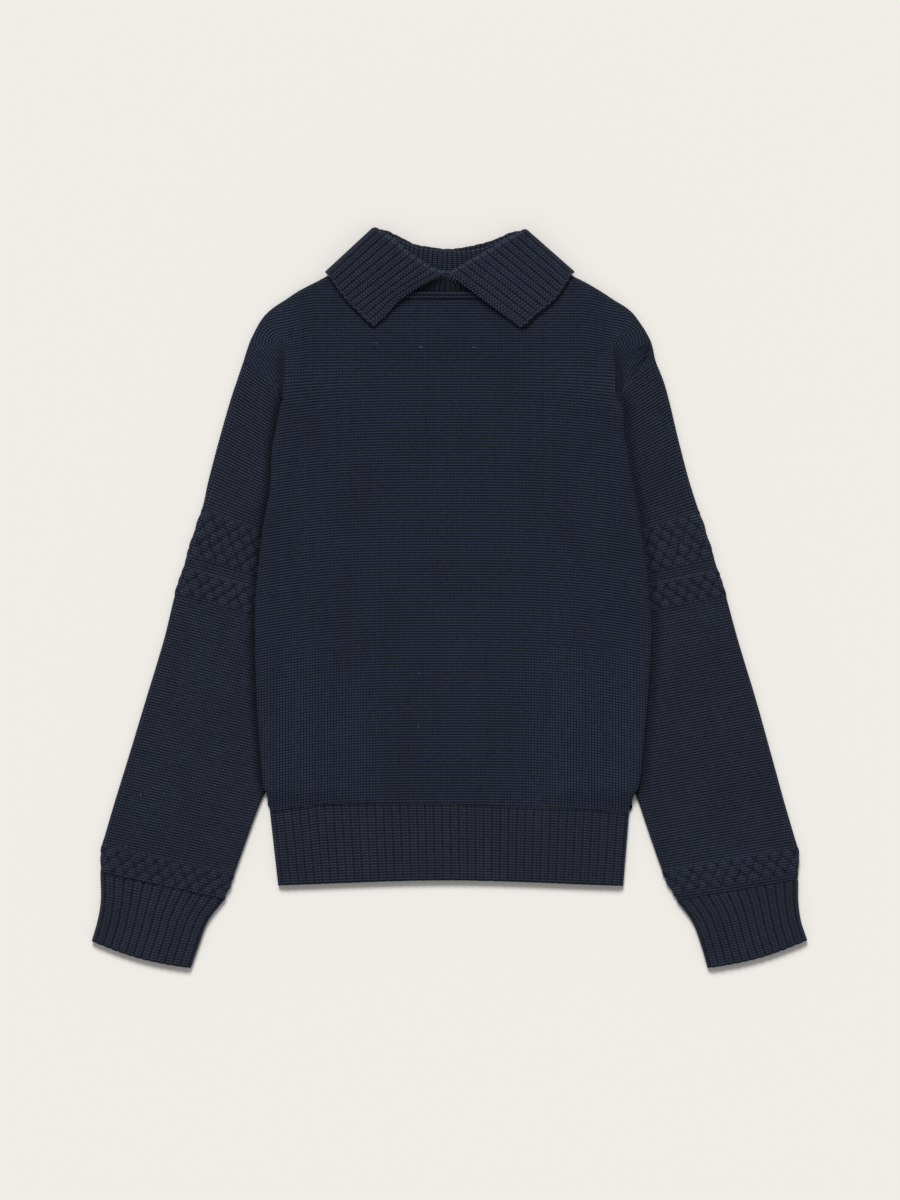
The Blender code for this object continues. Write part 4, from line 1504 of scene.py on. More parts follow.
        # Painted shade on the rolled edge beside the sleeves and along the hem seam
        painted_sleeve_shade = 0.3 * ramp(loop[:, 1], -206.0, 14.0) * ramp(loop[:, 1], 214.0, -6.0)
        painted_hem_shade = 0.8 * ((np.abs(loop[:, 0]) < 186.0) & (loop[:, 1] < -200.0))
        for turn in self.turns:
            angle = math.radians(turn)
            out = inset + normals * (rolls * math.sin(angle))[:, None]
            down = heights - rolls * (1.0 - math.cos(angle))
            unrolled = inset + normals * (rolls * angle)[:, None]
            stitches = stitch_map(*self.stitch_at(*unrolled.T), math.cos(angle / 1.3))
            shaded = np.maximum(painted_sleeve_shade * math.sin(angle) ** 1.2, painted_hem_shade)
            painted_shades = np.maximum(self.painted_shade_at(*out.T), shaded)
            ring = cloth.add(at_height(out, down), stitches, None, painted_shades)
            cloth.grid(np.array((border, ring)), ring=True)
            border = ring
        quiet = stitch_map(*self.stitch_at(*(loop + normals * 6.0).T), 0.0)
        ring = cloth.add(at_height(loop, lows), quiet)
        cloth.grid(np.array((border, ring)), ring=True)
        foot = cloth.add(at_height(loop - normals * WALL, lows), quiet)
        cloth.grid(np.array((ring, foot)), ring=True)
        lining = loop - normals * (rolls + WALL)[:, None]
        sparse = lattice[:: self.lining_thinning]
        sparse = sparse[inside(loop - normals * 12.0, sparse)]
        plan, triangles, spots = filled(lining[::3], sparse)
        unders = np.minimum(front_height(*plan.T), self.surface(*plan.T)) - WALL
        under = cloth.add(at_height(plan, unders), stitch_map(*self.stitch_at(*plan.T), 0.0))
        cloth.faces.extend(under[triangles].tolist())
        cloth.join(foot, under[spots], ring=True)
        return cloth.make("front_knit")


def filled(loop: np.ndarray, inner: np.ndarray) -> tuple:
    """Triangles that fill an outline through given points inside it.

    Args:
        loop: The outline's points, once round.
        inner: Points inside the outline.

    Returns:
        The plan points, the triangles between them and the place of each outline point.
    """
    everything = [Vector(point) for point in np.vstack((loop, inner)).tolist()]
    made = delaunay_2d_cdt(everything, [], [list(range(len(loop)))], 1, 1e-5, True)
    plan = np.array([tuple(point) for point in made[0]])
    triangles = np.array([face for face in made[2]])
    spots = np.full(len(loop), -1)
    for place, sources in enumerate(made[3]):
        for source in sources:
            if source < len(loop):
                spots[source] = place
    if (spots < 0).any():
        raise ValueError("an outline point was lost in the filling")
    unsure = np.isin(triangles, spots).all(axis=1)
    kept = np.ones(len(triangles), bool)
    kept[unsure] = inside(plan[spots], plan[triangles[unsure]].mean(axis=1))
    return plan, triangles[kept], spots


def plain_rows(lower: np.ndarray, upper: np.ndarray, left: np.ndarray, right: np.ndarray) -> np.ndarray:
    """Rows of points that fill the four-sided area between two edges and two sides.

    Args:
        lower: The lower edge, left to right.
        upper: The upper edge, left to right.
        left: The left side, upwards.
        right: The right side, upwards.

    Returns:
        A grid of points.
    """
    across = np.linspace(0.0, 1.0, len(lower))[None, :, None]
    along = np.linspace(0.0, 1.0, len(left))[:, None, None]
    ruled = (1 - along) * lower[None] + along * upper[None]
    crossed = (1 - across) * left[:, None] + across * right[:, None]
    corners = (1 - along) * ((1 - across) * lower[0] + across * lower[-1])
    corners = corners + along * ((1 - across) * upper[0] + across * upper[-1])
    return ruled + crossed - corners


def plate(name: str, rows: np.ndarray, top: Callable, bottom: Callable) -> Thing:
    """A closed sheet from rows of plan points with a height function for each face.

    Args:
        name: The object's name.
        rows: A grid of plan points.
        top: Height of the upper face from x and y.
        bottom: Height of the lower face from x and y.

    Returns:
        The sheet as an object.
    """
    cloth = Cloth()
    across, up = rows[..., 0], rows[..., 1]
    rims = []
    for height in (top, bottom):
        face = np.dstack((rows, height(across, up)))
        grid = cloth.add(face, stitch_map(across / WALE, up / COURSE, 0.0))
        cloth.grid(grid)
        rims.append(np.concatenate((grid[0], grid[1:, -1], grid[-1, -2::-1], grid[-2:0:-1, 0])))
    cloth.grid(np.array(rims), ring=True)
    return cloth.make(name)


@dataclass
class BackPanel:
    """Body back: lies on the floor between the sleeves and over the fallen collar."""

    rows: int = 90
    shoulder_cells: int = 24
    neck_cells: int = 36

    def build(self) -> Thing:
        """Make the panel.

        Returns:
            The panel as an object.
        """
        sides = {side: evenly(half(BACK_SIDES, side), self.rows) for side in (-1, 1)}
        shoulders = {}
        for side in (-1, 1):
            line = half(SHOULDERS, side)
            inward = np.array((-side * BACK_INSET[0], -BACK_INSET[1]))
            last = line[-1] + (-side * BACK_NECK_INSET[0], -BACK_NECK_INSET[1])
            edge = np.vstack((sides[side][-1], line[1:-1] + inward, last))
            shoulders[side] = evenly(edge, self.shoulder_cells)
        neck = evenly(np.asarray(BACK_NECK) * (0.985, 1.0) - (0, SEAM_GAP * 1.5), self.neck_cells)
        neck[0], neck[-1] = shoulders[-1][-1], shoulders[1][-1]
        upper = np.vstack((shoulders[-1], neck[1:], shoulders[1][::-1][1:]))
        lower = evenly(HEM_SEAM, len(upper) - 1)
        lower[:, 1] += SEAM_GAP
        lower[0], lower[-1] = sides[-1][0], sides[1][0]
        rows = plain_rows(lower, upper, sides[-1], sides[1])
        return plate("back_knit", rows, back_height, lambda across, up: back_height(across, up) - BACK_TOP)


@dataclass
class Sleeve:
    """Sleeve in reverse stockinette with three raised bobble bands, a flattened tube."""

    side: Side
    column_step: float = WALE / 2.0
    row_step: float = COURSE / 2.0
    lower_columns: int = 16
    edge_cells: int = 400
    head_cells: int = 200
    lining_step: int = 14
    bobble_width: float = 13.6
    bobble_length: float = 18.0
    fold_dip: float = 1.9
    outer_roll: float = 7.0
    lining_heights: tuple = (2.9, 2.5)
    turns: tuple = TUBE_TURNS

    def __post_init__(self) -> None:
        """Work out the sleeve's axis and its edges."""
        table = np.asarray(SLEEVE_EDGES, float)
        table = table[:, :4] if self.side is Side.LEFT else table[:, 4:]
        self.outer = evenly(table[:, :2], self.edge_cells)
        inner = evenly(table[:, 2:], self.edge_cells)
        head = evenly(half(SLEEVE_HEADS, self.side.value), self.head_cells)
        head += (self.side.value * 0.1, -0.1)
        self.head_length = len(head)
        self.inner = np.vstack((head[:-1], inner))
        self.start = (table[5, :2] + table[5, 2:]) / 2
        finish = (table[-1, :2] + table[-1, 2:]) / 2
        self.length = float(np.linalg.norm(finish - self.start))
        self.down = (finish - self.start) / self.length
        self.lean = math.degrees(math.atan2(abs(self.down[0]), -self.down[1]))

    def fall(self, distance: np.ndarray) -> np.ndarray:
        """Fall of the course at a distance down the sleeve, in degrees."""
        table = np.asarray(COURSE_FALLS, float)
        return np.interp(distance, table[:, 0], table[:, 1 if self.side is Side.LEFT else 2])

    def course_line(self, distance: float) -> tuple | None:
        """The straight line of one course, and where it meets the edges.

        Args:
            distance: Distance down the sleeve on its axis.

        Returns:
            The outer end, the inner end, the place on the axis and the direction across,
            or nothing where the course misses the sleeve.
        """
        middle = self.start + self.down * distance
        angle = math.radians(float(self.fall(distance)))
        toward = np.array((-self.side.value * math.cos(angle), -math.sin(angle)))
        ends = []
        for edge, sign in ((self.outer, -1.0), (self.inner, 1.0)):
            offset = edge - middle
            across = offset[:, 0] * toward[1] - offset[:, 1] * toward[0]
            along = offset @ toward
            flips = np.nonzero(np.diff(np.sign(across)) != 0)[0]
            share = across[flips] / (across[flips] - across[flips + 1])
            found = along[flips] + share * (along[flips + 1] - along[flips])
            if not len(found):
                return None
            ends.append(middle + toward * (found.min() if sign > 0 else found.max()))
        if (ends[1] - ends[0]) @ toward < 8.0:
            return None
        return ends[0], ends[1], middle, toward

    def band_share(self, distance: float) -> tuple:
        """Which bobble band a course is in, as its place along the bobbles and its share.

        Args:
            distance: Distance down the sleeve on its axis.

        Returns:
            The place in bobbles and how much of them the course takes.
        """
        for top, foot in BOBBLE_BANDS:
            edge = ease((distance - top + 2.0) / 2.0) * ease((foot + 2.0 - distance) / 2.0)
            if edge > 0.0:
                return (distance - top) / self.bobble_length + 0.25, float(edge)
        return 0.0, 0.0

    @property
    def shadow(self) -> tuple:
        """Reach of the painted shade beside the body's fold, its strength, and how much less of it lies
        right next to the fold.
        """
        return (11.0, 0.84, 0.0) if self.side is Side.LEFT else (15.0, 0.66, 0.42)

    def beside_fold(self, plan: np.ndarray, reach: float = 11.0) -> np.ndarray:
        """How near a place lies to the fold of the body, from 0 to 1 beside and under it."""
        beside = np.abs(plan[:, 0]) - fold_edge(*plan.T)
        return (1.0 - ease(beside / reach)) * ramp(plan[:, 1], 218.0, -14.0)

    def head_line(self, inner_end: np.ndarray) -> np.ndarray:
        """The armhole seam from the sleeve's outer edge to its first course.

        Args:
            inner_end: The inner end of that course.

        Returns:
            The seam's points.
        """
        seam = self.inner[: self.head_length]
        last = int(np.argmin(np.linalg.norm(seam - inner_end, axis=1)))
        return np.vstack((self.outer[:1], seam[1 : max(last, 3)], inner_end[None]))

    def section(self, distance: float, columns: int, line: np.ndarray | None = None) -> tuple:
        """One ring of the tube along a course.

        Args:
            distance: Distance down the sleeve on its axis.
            columns: Cells on the upper face.
            line: The ring's plan line, or nothing for the straight course.

        Returns:
            Points, stitch map, bobble map and painted shade of the ring.
        """
        outer, inner, middle, toward = self.course_line(distance)
        line = np.array((outer, inner)) if line is None else line
        width = length_of(line)
        roll = SLEEVE_HEIGHT / 2
        soft = ramp(inner[1], 140.0, -30.0)
        outer_roll = min(self.outer_roll, width / 3)
        inner_roll = min(0.9 + (roll - 0.9) * float(soft), width / 3)
        angles = np.radians(self.turns)
        top = np.linspace(outer_roll, width - inner_roll, columns + 1)
        below = np.linspace(width - inner_roll, outer_roll, self.lower_columns + 1)
        rising = outer_roll * (1 - np.sin(angles[::-1]))
        falling = width - inner_roll * (1 - np.sin(angles))
        places = np.concatenate((rising, top, falling, below))
        lifted = roll + roll * np.cos(angles)
        flat = np.full(columns + 1, SLEEVE_HEIGHT)
        heights = np.concatenate((lifted[::-1], flat, lifted, np.zeros(len(below))))
        before = outer_roll - (outer_roll + roll) / 2 * angles[::-1]
        after = width - inner_roll + roll * angles
        travelled = np.concatenate((before, top, after, 2 * width - below))
        plan = along_line(line, places / width)
        weight = ramp(heights, 1.0, 3.0)
        near = self.beside_fold(plan)
        heights = heights - self.fold_dip * near * ramp(heights, 3.0, 3.0)
        zero = float((outer - middle) @ toward)
        along, share = self.band_share(distance)
        stitches = stitch_map((zero + travelled) / WALE, -distance / COURSE, weight)
        place = (zero + travelled) / self.bobble_width
        uneven = 0.05 * np.sin(place * 5.1 + along * 3.7) + 0.04 * np.sin(place * 2.3 - along * 7.9)
        tilt = 0.05 * np.sin(place * 7.3 + along * 2.1) + 0.03 * np.sin(place * 3.1 + along * 9.4)
        bobbles = np.column_stack((place + uneven, along + tilt, weight * share))
        # Painted shade on the sleeve beside the body's fold, lighter right next to it
        reach, dark, paler = self.shadow
        shade = dark * self.beside_fold(plan, reach) - paler * self.beside_fold(plan, 5.0)
        return at_height(plan, heights), stitches, bobbles, shade

    def lining(self, distance: float) -> np.ndarray:
        """One ring of the plain inner face.

        Args:
            distance: Distance down the sleeve on its axis.

        Returns:
            The ring's points.
        """
        outer, inner, _, toward = self.course_line(distance)
        places, heights = lining_ring(float((inner - outer) @ toward), *self.lining_heights)
        return at_height(outer + toward * places[:, None], heights)

    def build(self) -> Thing:
        """Make the sleeve.

        Returns:
            The sleeve as an object without its relief.
        """
        first = -200.0
        while self.course_line(first) is None:
            first += 0.5
        rows = np.arange(first + 0.5, self.length, self.row_step)
        phase = round(rows[0] / self.row_step) * self.row_step - rows[0]
        rows = rows + phase
        rows = np.append(rows[(rows > first) & (rows < self.length - 0.6)], self.length - 0.1)
        widths = []
        for row in rows:
            outer, inner, _, toward = self.course_line(row)
            widths.append(float((inner - outer) @ toward))
        columns = int(max(widths) / self.column_step)
        cloth = Cloth()
        rings = [self.section(row, columns) for row in rows]
        head = self.head_line(self.course_line(rows[0])[1])
        rings.insert(0, self.section(rows[0], columns, head))
        rings[0][1][:, 1] += 1.0
        numbers = cloth.add(*(np.array([ring[part] for ring in rings]) for part in range(4)))
        cloth.grid(numbers, ring=True)
        linings = np.array([self.lining(row) for row in (*rows[6 :: self.lining_step], rows[-1])])
        inner = cloth.add(linings, (0.0, 0.0, 0.0))
        cloth.grid(inner, ring=True)
        cloth.faces.append([int(n) for n in numbers[0]])
        cloth.faces.append([int(n) for n in inner[0]])
        cloth.join(numbers[-1], inner[-1], ring=True)
        LOG.info("sleeve %s: %d courses, %d columns", self.side.word, len(rows), columns)
        return cloth.make(f"sleeve_knit_{self.side.word}")


@dataclass
class Cuff:
    """Ribbed cuff that narrows to the wrist and opens at its end."""

    side: Side
    ribs: int = 12
    columns_a_rib: int = 9
    rows: int = 56
    courses: float = 28.0
    lower_columns: int = 16
    bow_points: int = 25
    turns: tuple = TUBE_TURNS

    def line_at(self, station: float) -> np.ndarray:
        """Plan line across the cuff at a station of its table, outer to inner edge.

        Args:
            station: Place along the cuff, in rows of its table.

        Returns:
            The line's points.
        """
        table = np.asarray(CUFF_LEFT if self.side is Side.LEFT else CUFF_RIGHT, float)
        here = min(int(station), len(table) - 2)
        padded = np.vstack((2 * table[0] - table[1], table, 2 * table[-1] - table[-2]))
        row = bent(*padded[here : here + 4], station - here)
        share = np.linspace(0.0, 1.0, self.bow_points)
        away = np.array((-(row[3] - row[1]), row[2] - row[0]))
        away *= -math.copysign(1.0, away[1])
        straight = row[:2] + (row[2:4] - row[:2]) * share[:, None]
        return straight + row[4] * np.sin(share * math.pi)[:, None] * away

    def section(self, station: float) -> tuple:
        """One ring of the cuff.

        Args:
            station: Place along the cuff, in rows of its table.

        Returns:
            Points and stitch map of the ring.
        """
        line = self.line_at(station)
        width = length_of(line)
        roll = SLEEVE_HEIGHT / 2
        columns = self.ribs * self.columns_a_rib
        top = np.linspace(roll, width - roll, columns + 1)
        wales = np.linspace(0.0, self.ribs * RIB_WALES, columns + 1) - 0.5
        angles = np.radians(self.turns)
        lead = roll * (1 - np.sin(angles))
        below = np.linspace(width - roll, roll, self.lower_columns + 1)
        places = np.concatenate((lead[::-1], top, width - lead, below))
        lifted = roll + roll * np.cos(angles)
        flat = np.full(columns + 1, SLEEVE_HEIGHT)
        heights = np.concatenate((lifted[::-1], flat, lifted, np.zeros(len(below))))
        spread = roll * angles / WALE
        after = wales[-1] + spread
        under = np.linspace(after[-1], after[-1] + 30.0, len(below))
        wale = np.concatenate((wales[0] - spread[::-1], wales, after, under))
        course = station * self.courses / 3.0
        stitches = stitch_map(wale, course, ramp(heights, 1.0, 3.0))
        return at_height(along_line(line, places / width), heights), stitches

    def build(self) -> Thing:
        """Make the cuff.

        Returns:
            The cuff as an object without its relief.
        """
        cloth = Cloth()
        stations = np.linspace(0.0, 3.0, self.rows + 1)
        rings = [self.section(station) for station in stations]
        points = np.array([ring[0] for ring in rings])
        points[0, :, :2] += np.array((-self.side.value * 0.05, -1.0)) * SEAM_GAP
        # Painted shade along the cuff seam
        seam_painted_shade = 0.5 * bell(np.arange(self.rows + 1)[:, None], 0.9)
        painted_shades = np.tile(seam_painted_shade, points.shape[1])
        numbers = cloth.add(points, np.array([ring[1] for ring in rings]), None, painted_shades)
        cloth.grid(numbers, ring=True)
        linings = []
        for station in (0.0, 1.0, 2.0, 3.0):
            line = self.line_at(station)
            width = length_of(line)
            places, heights = lining_ring(width, SLEEVE_HEIGHT - WALL, WALL - 0.2)
            linings.append(at_height(along_line(line, places / width), heights))
        inner = cloth.add(np.array(linings), (0.0, 0.0, 0.0))
        cloth.grid(inner, ring=True)
        cloth.join(numbers[0], inner[0], ring=True)
        cloth.join(numbers[-1], inner[-1], ring=True)
        return cloth.make(f"cuff_rib_{self.side.word}")


@dataclass
class Hem:
    """Ribbed hem: the front with its sides rolled down, and the plain-lying back."""

    ribs: int = 42
    columns_a_rib: int = 9
    rows: int = 58
    courses: float = 28.0
    edge_cells: int = 200
    lining_points: int = 17
    back_share: float = 0.974
    back_cells: int = 120
    back_rows: int = 30

    def front(self) -> Thing:
        """Make the hem of the front.

        Returns:
            The hem as an object without its relief.
        """
        seam = evenly(HEM_SEAM, self.edge_cells) - (0.0, 0.1)
        edge = evenly(HEM_EDGE, self.edge_cells)
        top = BACK_TOP + FRONT_OVER_BACK + HEM_OVER_FRONT
        columns = self.ribs * self.columns_a_rib
        turns = np.radians(EDGE_TURNS)
        lead = EDGE_ROLL * (1 - np.sin(turns))
        drop = EDGE_ROLL * (1 - np.cos(turns))
        spread = EDGE_ROLL * turns / WALE
        wales = np.linspace(0.0, self.ribs * RIB_WALES, columns + 1) - 0.5
        low, high = wales[0] - spread, wales[-1] + spread
        wale = np.concatenate(((low[-1] - 1.0,), low[::-1], wales, high, (high[-1] + 1.0,)))
        flat = np.full(columns + 1, top)
        heights = np.concatenate(((LAYER_GAP,), top - drop[::-1], flat, top - drop, (LAYER_GAP,)))
        weight = ramp(heights, 2.0, 3.0)
        outer, stitches, inner = [], [], []
        for share in np.linspace(0.0, 1.0, self.rows + 1):
            line = seam + (edge - seam) * share
            length = length_of(line)
            ribbed = np.linspace(EDGE_ROLL, length - EDGE_ROLL, columns + 1)
            places = np.concatenate(((0.0,), lead[::-1], ribbed, length - lead, (length,)))
            outer.append(at_height(along_line(line, places / length), heights))
            stitches.append(stitch_map(wale, share * self.courses, weight))
        under = top - WALL
        flat = np.full(self.lining_points, under)
        heights = np.concatenate(((LAYER_GAP, under - 1.0), flat, (under - 1.0, LAYER_GAP)))
        for share in (0.0, 0.5, 1.0):
            line = seam + (edge - seam) * share
            length = length_of(line)
            lining = np.linspace(WALL + 1.0, length - WALL - 1.0, len(flat))
            places = np.concatenate(((WALL, WALL), lining, (length - WALL, length - WALL)))
            inner.append(at_height(along_line(line, places / length), heights))
        cloth = Cloth()
        # Painted shade along the hem seam
        seam_painted_shade = 0.75 * bell(np.arange(self.rows + 1)[:, None], 1.1)
        outside = cloth.add(np.array(outer), np.array(stitches), None, np.tile(seam_painted_shade, len(wale)))
        lined = cloth.add(np.array(inner), (0.0, 0.0, 0.0))
        cloth.grid(outside)
        cloth.grid(lined)
        for place in (0, -1):
            cloth.join(outside[place], lined[place])
        for place in (0, -1):
            cloth.join(outside[:, place], lined[:, place])
        return cloth.make("hem_rib_front")

    def back(self) -> Thing:
        """Make the hem of the back.

        Returns:
            The hem as an object.
        """
        narrow = (self.back_share, 1.0)
        upper = evenly(np.asarray(HEM_SEAM) * narrow - (0.0, 2 * SEAM_GAP), self.back_cells)
        lower = evenly(np.asarray(HEM_EDGE) * narrow, self.back_cells)
        share = np.linspace(0.0, 1.0, self.back_rows)[:, None, None]
        rows = lower[None] + (upper - lower)[None] * share
        return plate(
            "hem_rib_back",
            rows,
            lambda across, up: np.full_like(across, BACK_TOP),
            lambda across, up: np.zeros_like(across),
        )


def sheet_normals(middle: np.ndarray, ring: bool = False) -> np.ndarray:
    """Unit normals of a grid of points.

    Args:
        middle: The grid, sections first and rows second.
        ring: Whether the sections close on themselves.

    Returns:
        A unit normal for each point.
    """
    if ring:
        around = np.roll(middle, -1, axis=0) - np.roll(middle, 1, axis=0)
    else:
        around = np.gradient(middle, axis=0)
    normal = np.cross(around, np.gradient(middle, axis=1))
    return normal / np.linalg.norm(normal, axis=2)[..., None]


def split_bow(shares: np.ndarray) -> np.ndarray:
    """How far the left split edge bows into its wing, at shares of its length."""
    return np.interp(shares, *np.transpose(SPLIT_BOW))[..., None] * np.array((-0.584, 0.811, 0.0))


@dataclass
class Collar:
    """Ribbed collar: a stand round the neck, turned down into a fall parted at the front."""

    wing_ribs: int = WING_RIBS
    columns_a_rib: int = 9
    turn_sections: int = 17
    back_sections: int = 48
    rows: int = 44
    bow_sections: int = 36
    wrap_angle: float = 72.0
    fall_length: float = 70.0
    stand_sections: int = 540
    stand_rows: int = 12
    stand_wales: float = 216.0

    def wrapped(self, starts: Sequence, side: Side, radius: float) -> np.ndarray:
        """The half turn that the collar makes round one side of the neck.

        Args:
            starts: The turn's furthest places, left and right.
            side: The side.
            radius: The turn's radius.

        Returns:
            The points of the turn, from the front down to the back.
        """
        away = np.array((side.value * 0.7, 0.714))
        start = np.asarray(starts[0 if side is Side.LEFT else 1], float)
        degrees = np.linspace(self.wrap_angle, -self.wrap_angle, self.turn_sections)
        angles = np.radians(degrees)[:, None]
        plan = start + away * WRAP_ACROSS * (np.cos(angles) - 1.0)
        return np.hstack((plan, BACK_FALL_HEIGHT + radius + radius * np.sin(angles)))

    def fall_lines(self) -> tuple:
        """Fold line and outer edge of the fall, section by section from split to split.

        Returns:
            The fold line, the edge and the wale of each section.
        """
        count = self.wing_ribs * self.columns_a_rib
        rise = (WING_FOLD_HEIGHT - BACK_FALL_HEIGHT) / 2
        brink = (WING_EDGE_HEIGHT - BACK_FALL_HEIGHT) / 2
        left_fold, right_fold = (self.wrapped(SIDE_PEAKS, side, rise) for side in Side)
        left_edge, right_edge = (self.wrapped(SIDE_CORNERS, side, brink) for side in Side)
        fold = [
            at_height(evenly(FOLD_LEFT, count), WING_FOLD_HEIGHT),
            left_fold,
            at_height(evenly(BACK_FOLD, self.back_sections), BACK_FALL_HEIGHT),
            right_fold[::-1],
            at_height(evenly(FOLD_RIGHT, count), WING_FOLD_HEIGHT)[::-1],
        ]
        edge = [
            at_height(evenly(EDGE_LEFT, count), WING_EDGE_HEIGHT),
            left_edge,
            at_height(evenly(BACK_EDGE, self.back_sections), BACK_FALL_HEIGHT),
            right_edge[::-1],
            at_height(evenly(EDGE_RIGHT, count), WING_EDGE_HEIGHT)[::-1],
        ]
        wing = np.arange(count + 1) / self.columns_a_rib * RIB_WALES
        rest = len(left_fold) + self.back_sections + 1 + len(right_fold)
        between = wing[-1] + np.arange(1, rest + 1) * 0.9
        wale = np.concatenate((wing, between, between[-1] + 0.34 + wing))
        return np.vstack(fold), np.vstack(edge), wale

    def fall(self) -> Thing:
        """Make the fall with its crest.

        Returns:
            The fall as an object without its relief.
        """
        fold, edge, wale = self.fall_lines()
        along = np.gradient(fold, axis=0)
        flat = (edge - fold) * (1, 1, 0)
        reach = flat / np.linalg.norm(flat, axis=1)[:, None]
        inward = -np.cross(along, reach)
        inward /= np.linalg.norm(inward, axis=1)[:, None]
        rows = [fold + reach * out + inward * depth for out, depth in LIP]
        start = rows[-1]
        shares = np.linspace(0.0, 1.0, self.rows + 1)[1:]
        rows += [start + (edge - start) * share for share in shares]
        middle = np.stack(rows, 1)
        follow = np.clip(1.0 - np.arange(len(fold)) / self.bow_sections, 0.0, 1.0) ** 1.5
        middle[:, len(LIP) :] += follow[:, None, None] * split_bow(shares)
        normals = sheet_normals(middle)
        shown = ramp(normals[..., 2], -0.1, 0.4)
        shown[:, 0] = 0.0
        before = np.cumsum(np.full(len(LIP), -1.1))[::-1]
        travelled = np.concatenate((before, 1.0 + self.fall_length * shares)) / COURSE
        stitches = stitch_map(wale[:, None], travelled, shown)
        outer = middle + normals * FALL_HALF
        inner = middle - normals * FALL_HALF
        cloth = Cloth()
        outside = cloth.add(outer, stitches)
        keep = np.unique(np.append(np.arange(0, len(middle), 3), len(middle) - 1))
        rows_kept = np.unique(np.append(np.arange(0, middle.shape[1], 4), middle.shape[1] - 1))
        quiet = stitches * (1.0, 1.0, 0.0)
        lined = cloth.add(inner[np.ix_(keep, rows_kept)], quiet[np.ix_(keep, rows_kept)])
        cloth.grid(outside)
        cloth.grid(lined)
        for place in (0, -1):
            cloth.join(outside[place], lined[place])
            cloth.join(outside[:, place], lined[:, place])
        return cloth.make("collar_rib_fall")

    def stand(self) -> Thing:
        """Make the stand, a ring from the neck seam up to the fold.

        Returns:
            The stand as an object without its relief.
        """
        left = np.asarray(STAND_SECTIONS, float)
        right = left[1:-1][::-1] * (-1, 1, 1, -1, 1, 1) + (0, 0, 0, -0.6, -1.6, 0)
        ring = np.vstack((left, right, left[:1]))
        dense = evenly(ring, self.stand_sections)[:-1]
        seam, crest = dense[:, :3], dense[:, 3:]
        rows = [seam + (crest - seam) * share for share in np.linspace(0.0, 1.0, self.stand_rows)]
        middle = np.stack(rows, 1)
        middle[:, -1, 2] -= 0.9
        normals = -sheet_normals(middle, ring=True)
        wale = np.arange(self.stand_sections) / self.stand_sections * self.stand_wales
        course = np.linspace(0.0, 12.0, self.stand_rows)
        stitches = stitch_map(wale, course[:, None], 1.0)
        cloth = Cloth()
        # Painted shade on the front of the stand, under the collar's split
        front_part = ramp(middle[..., 2], 8.0, 2.0) * ramp(np.abs(middle[..., 0]), 92.0, -20.0)
        wall = np.swapaxes(normals * (STAND_HALF - 0.35), 0, 1)
        middle = np.swapaxes(middle, 0, 1)
        outside = cloth.add(middle + wall, stitches, None, 0.5 * front_part.T)
        lined = cloth.add(middle - wall, stitches)
        cloth.grid(outside, ring=True)
        cloth.grid(lined, ring=True)
        cloth.grid(np.array((outside[0], lined[0])), ring=True)
        cloth.grid(np.array((outside[-1], lined[-1])), ring=True)
        return cloth.make("collar_rib_stand")


@dataclass
class NeckTrim:
    """Rolled trim over the front neck seam."""

    width: float = 3.1
    height: float = 2.1
    sections: int = 320
    turns: int = 10

    def build(self) -> Thing:
        """Make the trim as a low half-round strip.

        Returns:
            The trim as an object.
        """
        line = evenly(TRIM_LINE, self.sections)
        beside = beside_line(line)
        angles = np.linspace(0.0, math.pi, self.turns + 1)
        out = np.concatenate((np.cos(angles) * self.width, (-self.width * 0.5, 0.0, self.width * 0.5)))
        up = np.concatenate((np.sin(angles) * self.height, (0.0, 0.0, 0.0)))
        plan = line[:, None] + beside[:, None] * out[None, :, None]
        heights = np.broadcast_to(TRIM_HEIGHT + up, plan.shape[:2])
        travelled = np.linspace(0.0, length_of(line), self.sections + 1) / COURSE
        wale = np.linspace(0.0, 2.0, len(out))
        stitches = stitch_map(wale, travelled[:, None], np.where(up > 0.1, 1.0, 0.0))
        cloth = Cloth()
        numbers = cloth.add(np.dstack((plan, heights)), stitches)
        cloth.grid(numbers, ring=True)
        cloth.faces.append([int(n) for n in numbers[0]])
        cloth.faces.append([int(n) for n in numbers[-1]])
        return cloth.make("neck_trim_roll")


@dataclass(frozen=True)
class Plait:
    """Yarn grains laid in a plait along a line, as a selvedge, a binding or a seam shows them."""

    pitch: float = 1.7
    offset: float = 0.75
    lean: float = 34.0
    grain: tuple = (1.7, 0.8, 0.75)

    def lay(self, name: str, lines: Sequence[np.ndarray], finish: bpy.types.Material) -> Thing:
        """Lay the plait along lines.

        Args:
            name: The object's name.
            lines: Each line's points in millimetres.
            finish: The yarn's material.

        Returns:
            The plait as one object.
        """
        points = (np.vstack(lines) + (*TABLE_MIDDLE, 0.0)) * MILLIMETRE
        edges = []
        first = 0
        for line in lines:
            edges.extend((first + step, first + step + 1) for step in range(len(line) - 1))
            first += len(line)
        mesh = bpy.data.meshes.new(name)
        mesh.from_pydata(points.tolist(), edges, [])
        wanted = {
            "Pitch": self.pitch * MILLIMETRE,
            "Offset": self.offset * MILLIMETRE,
            "Lean": math.radians(self.lean),
            "Grain": [size * MILLIMETRE for size in self.grain],
            "Yarn": finish,
        }
        return shaped(in_scene(name, mesh), plait_tree(), wanted)


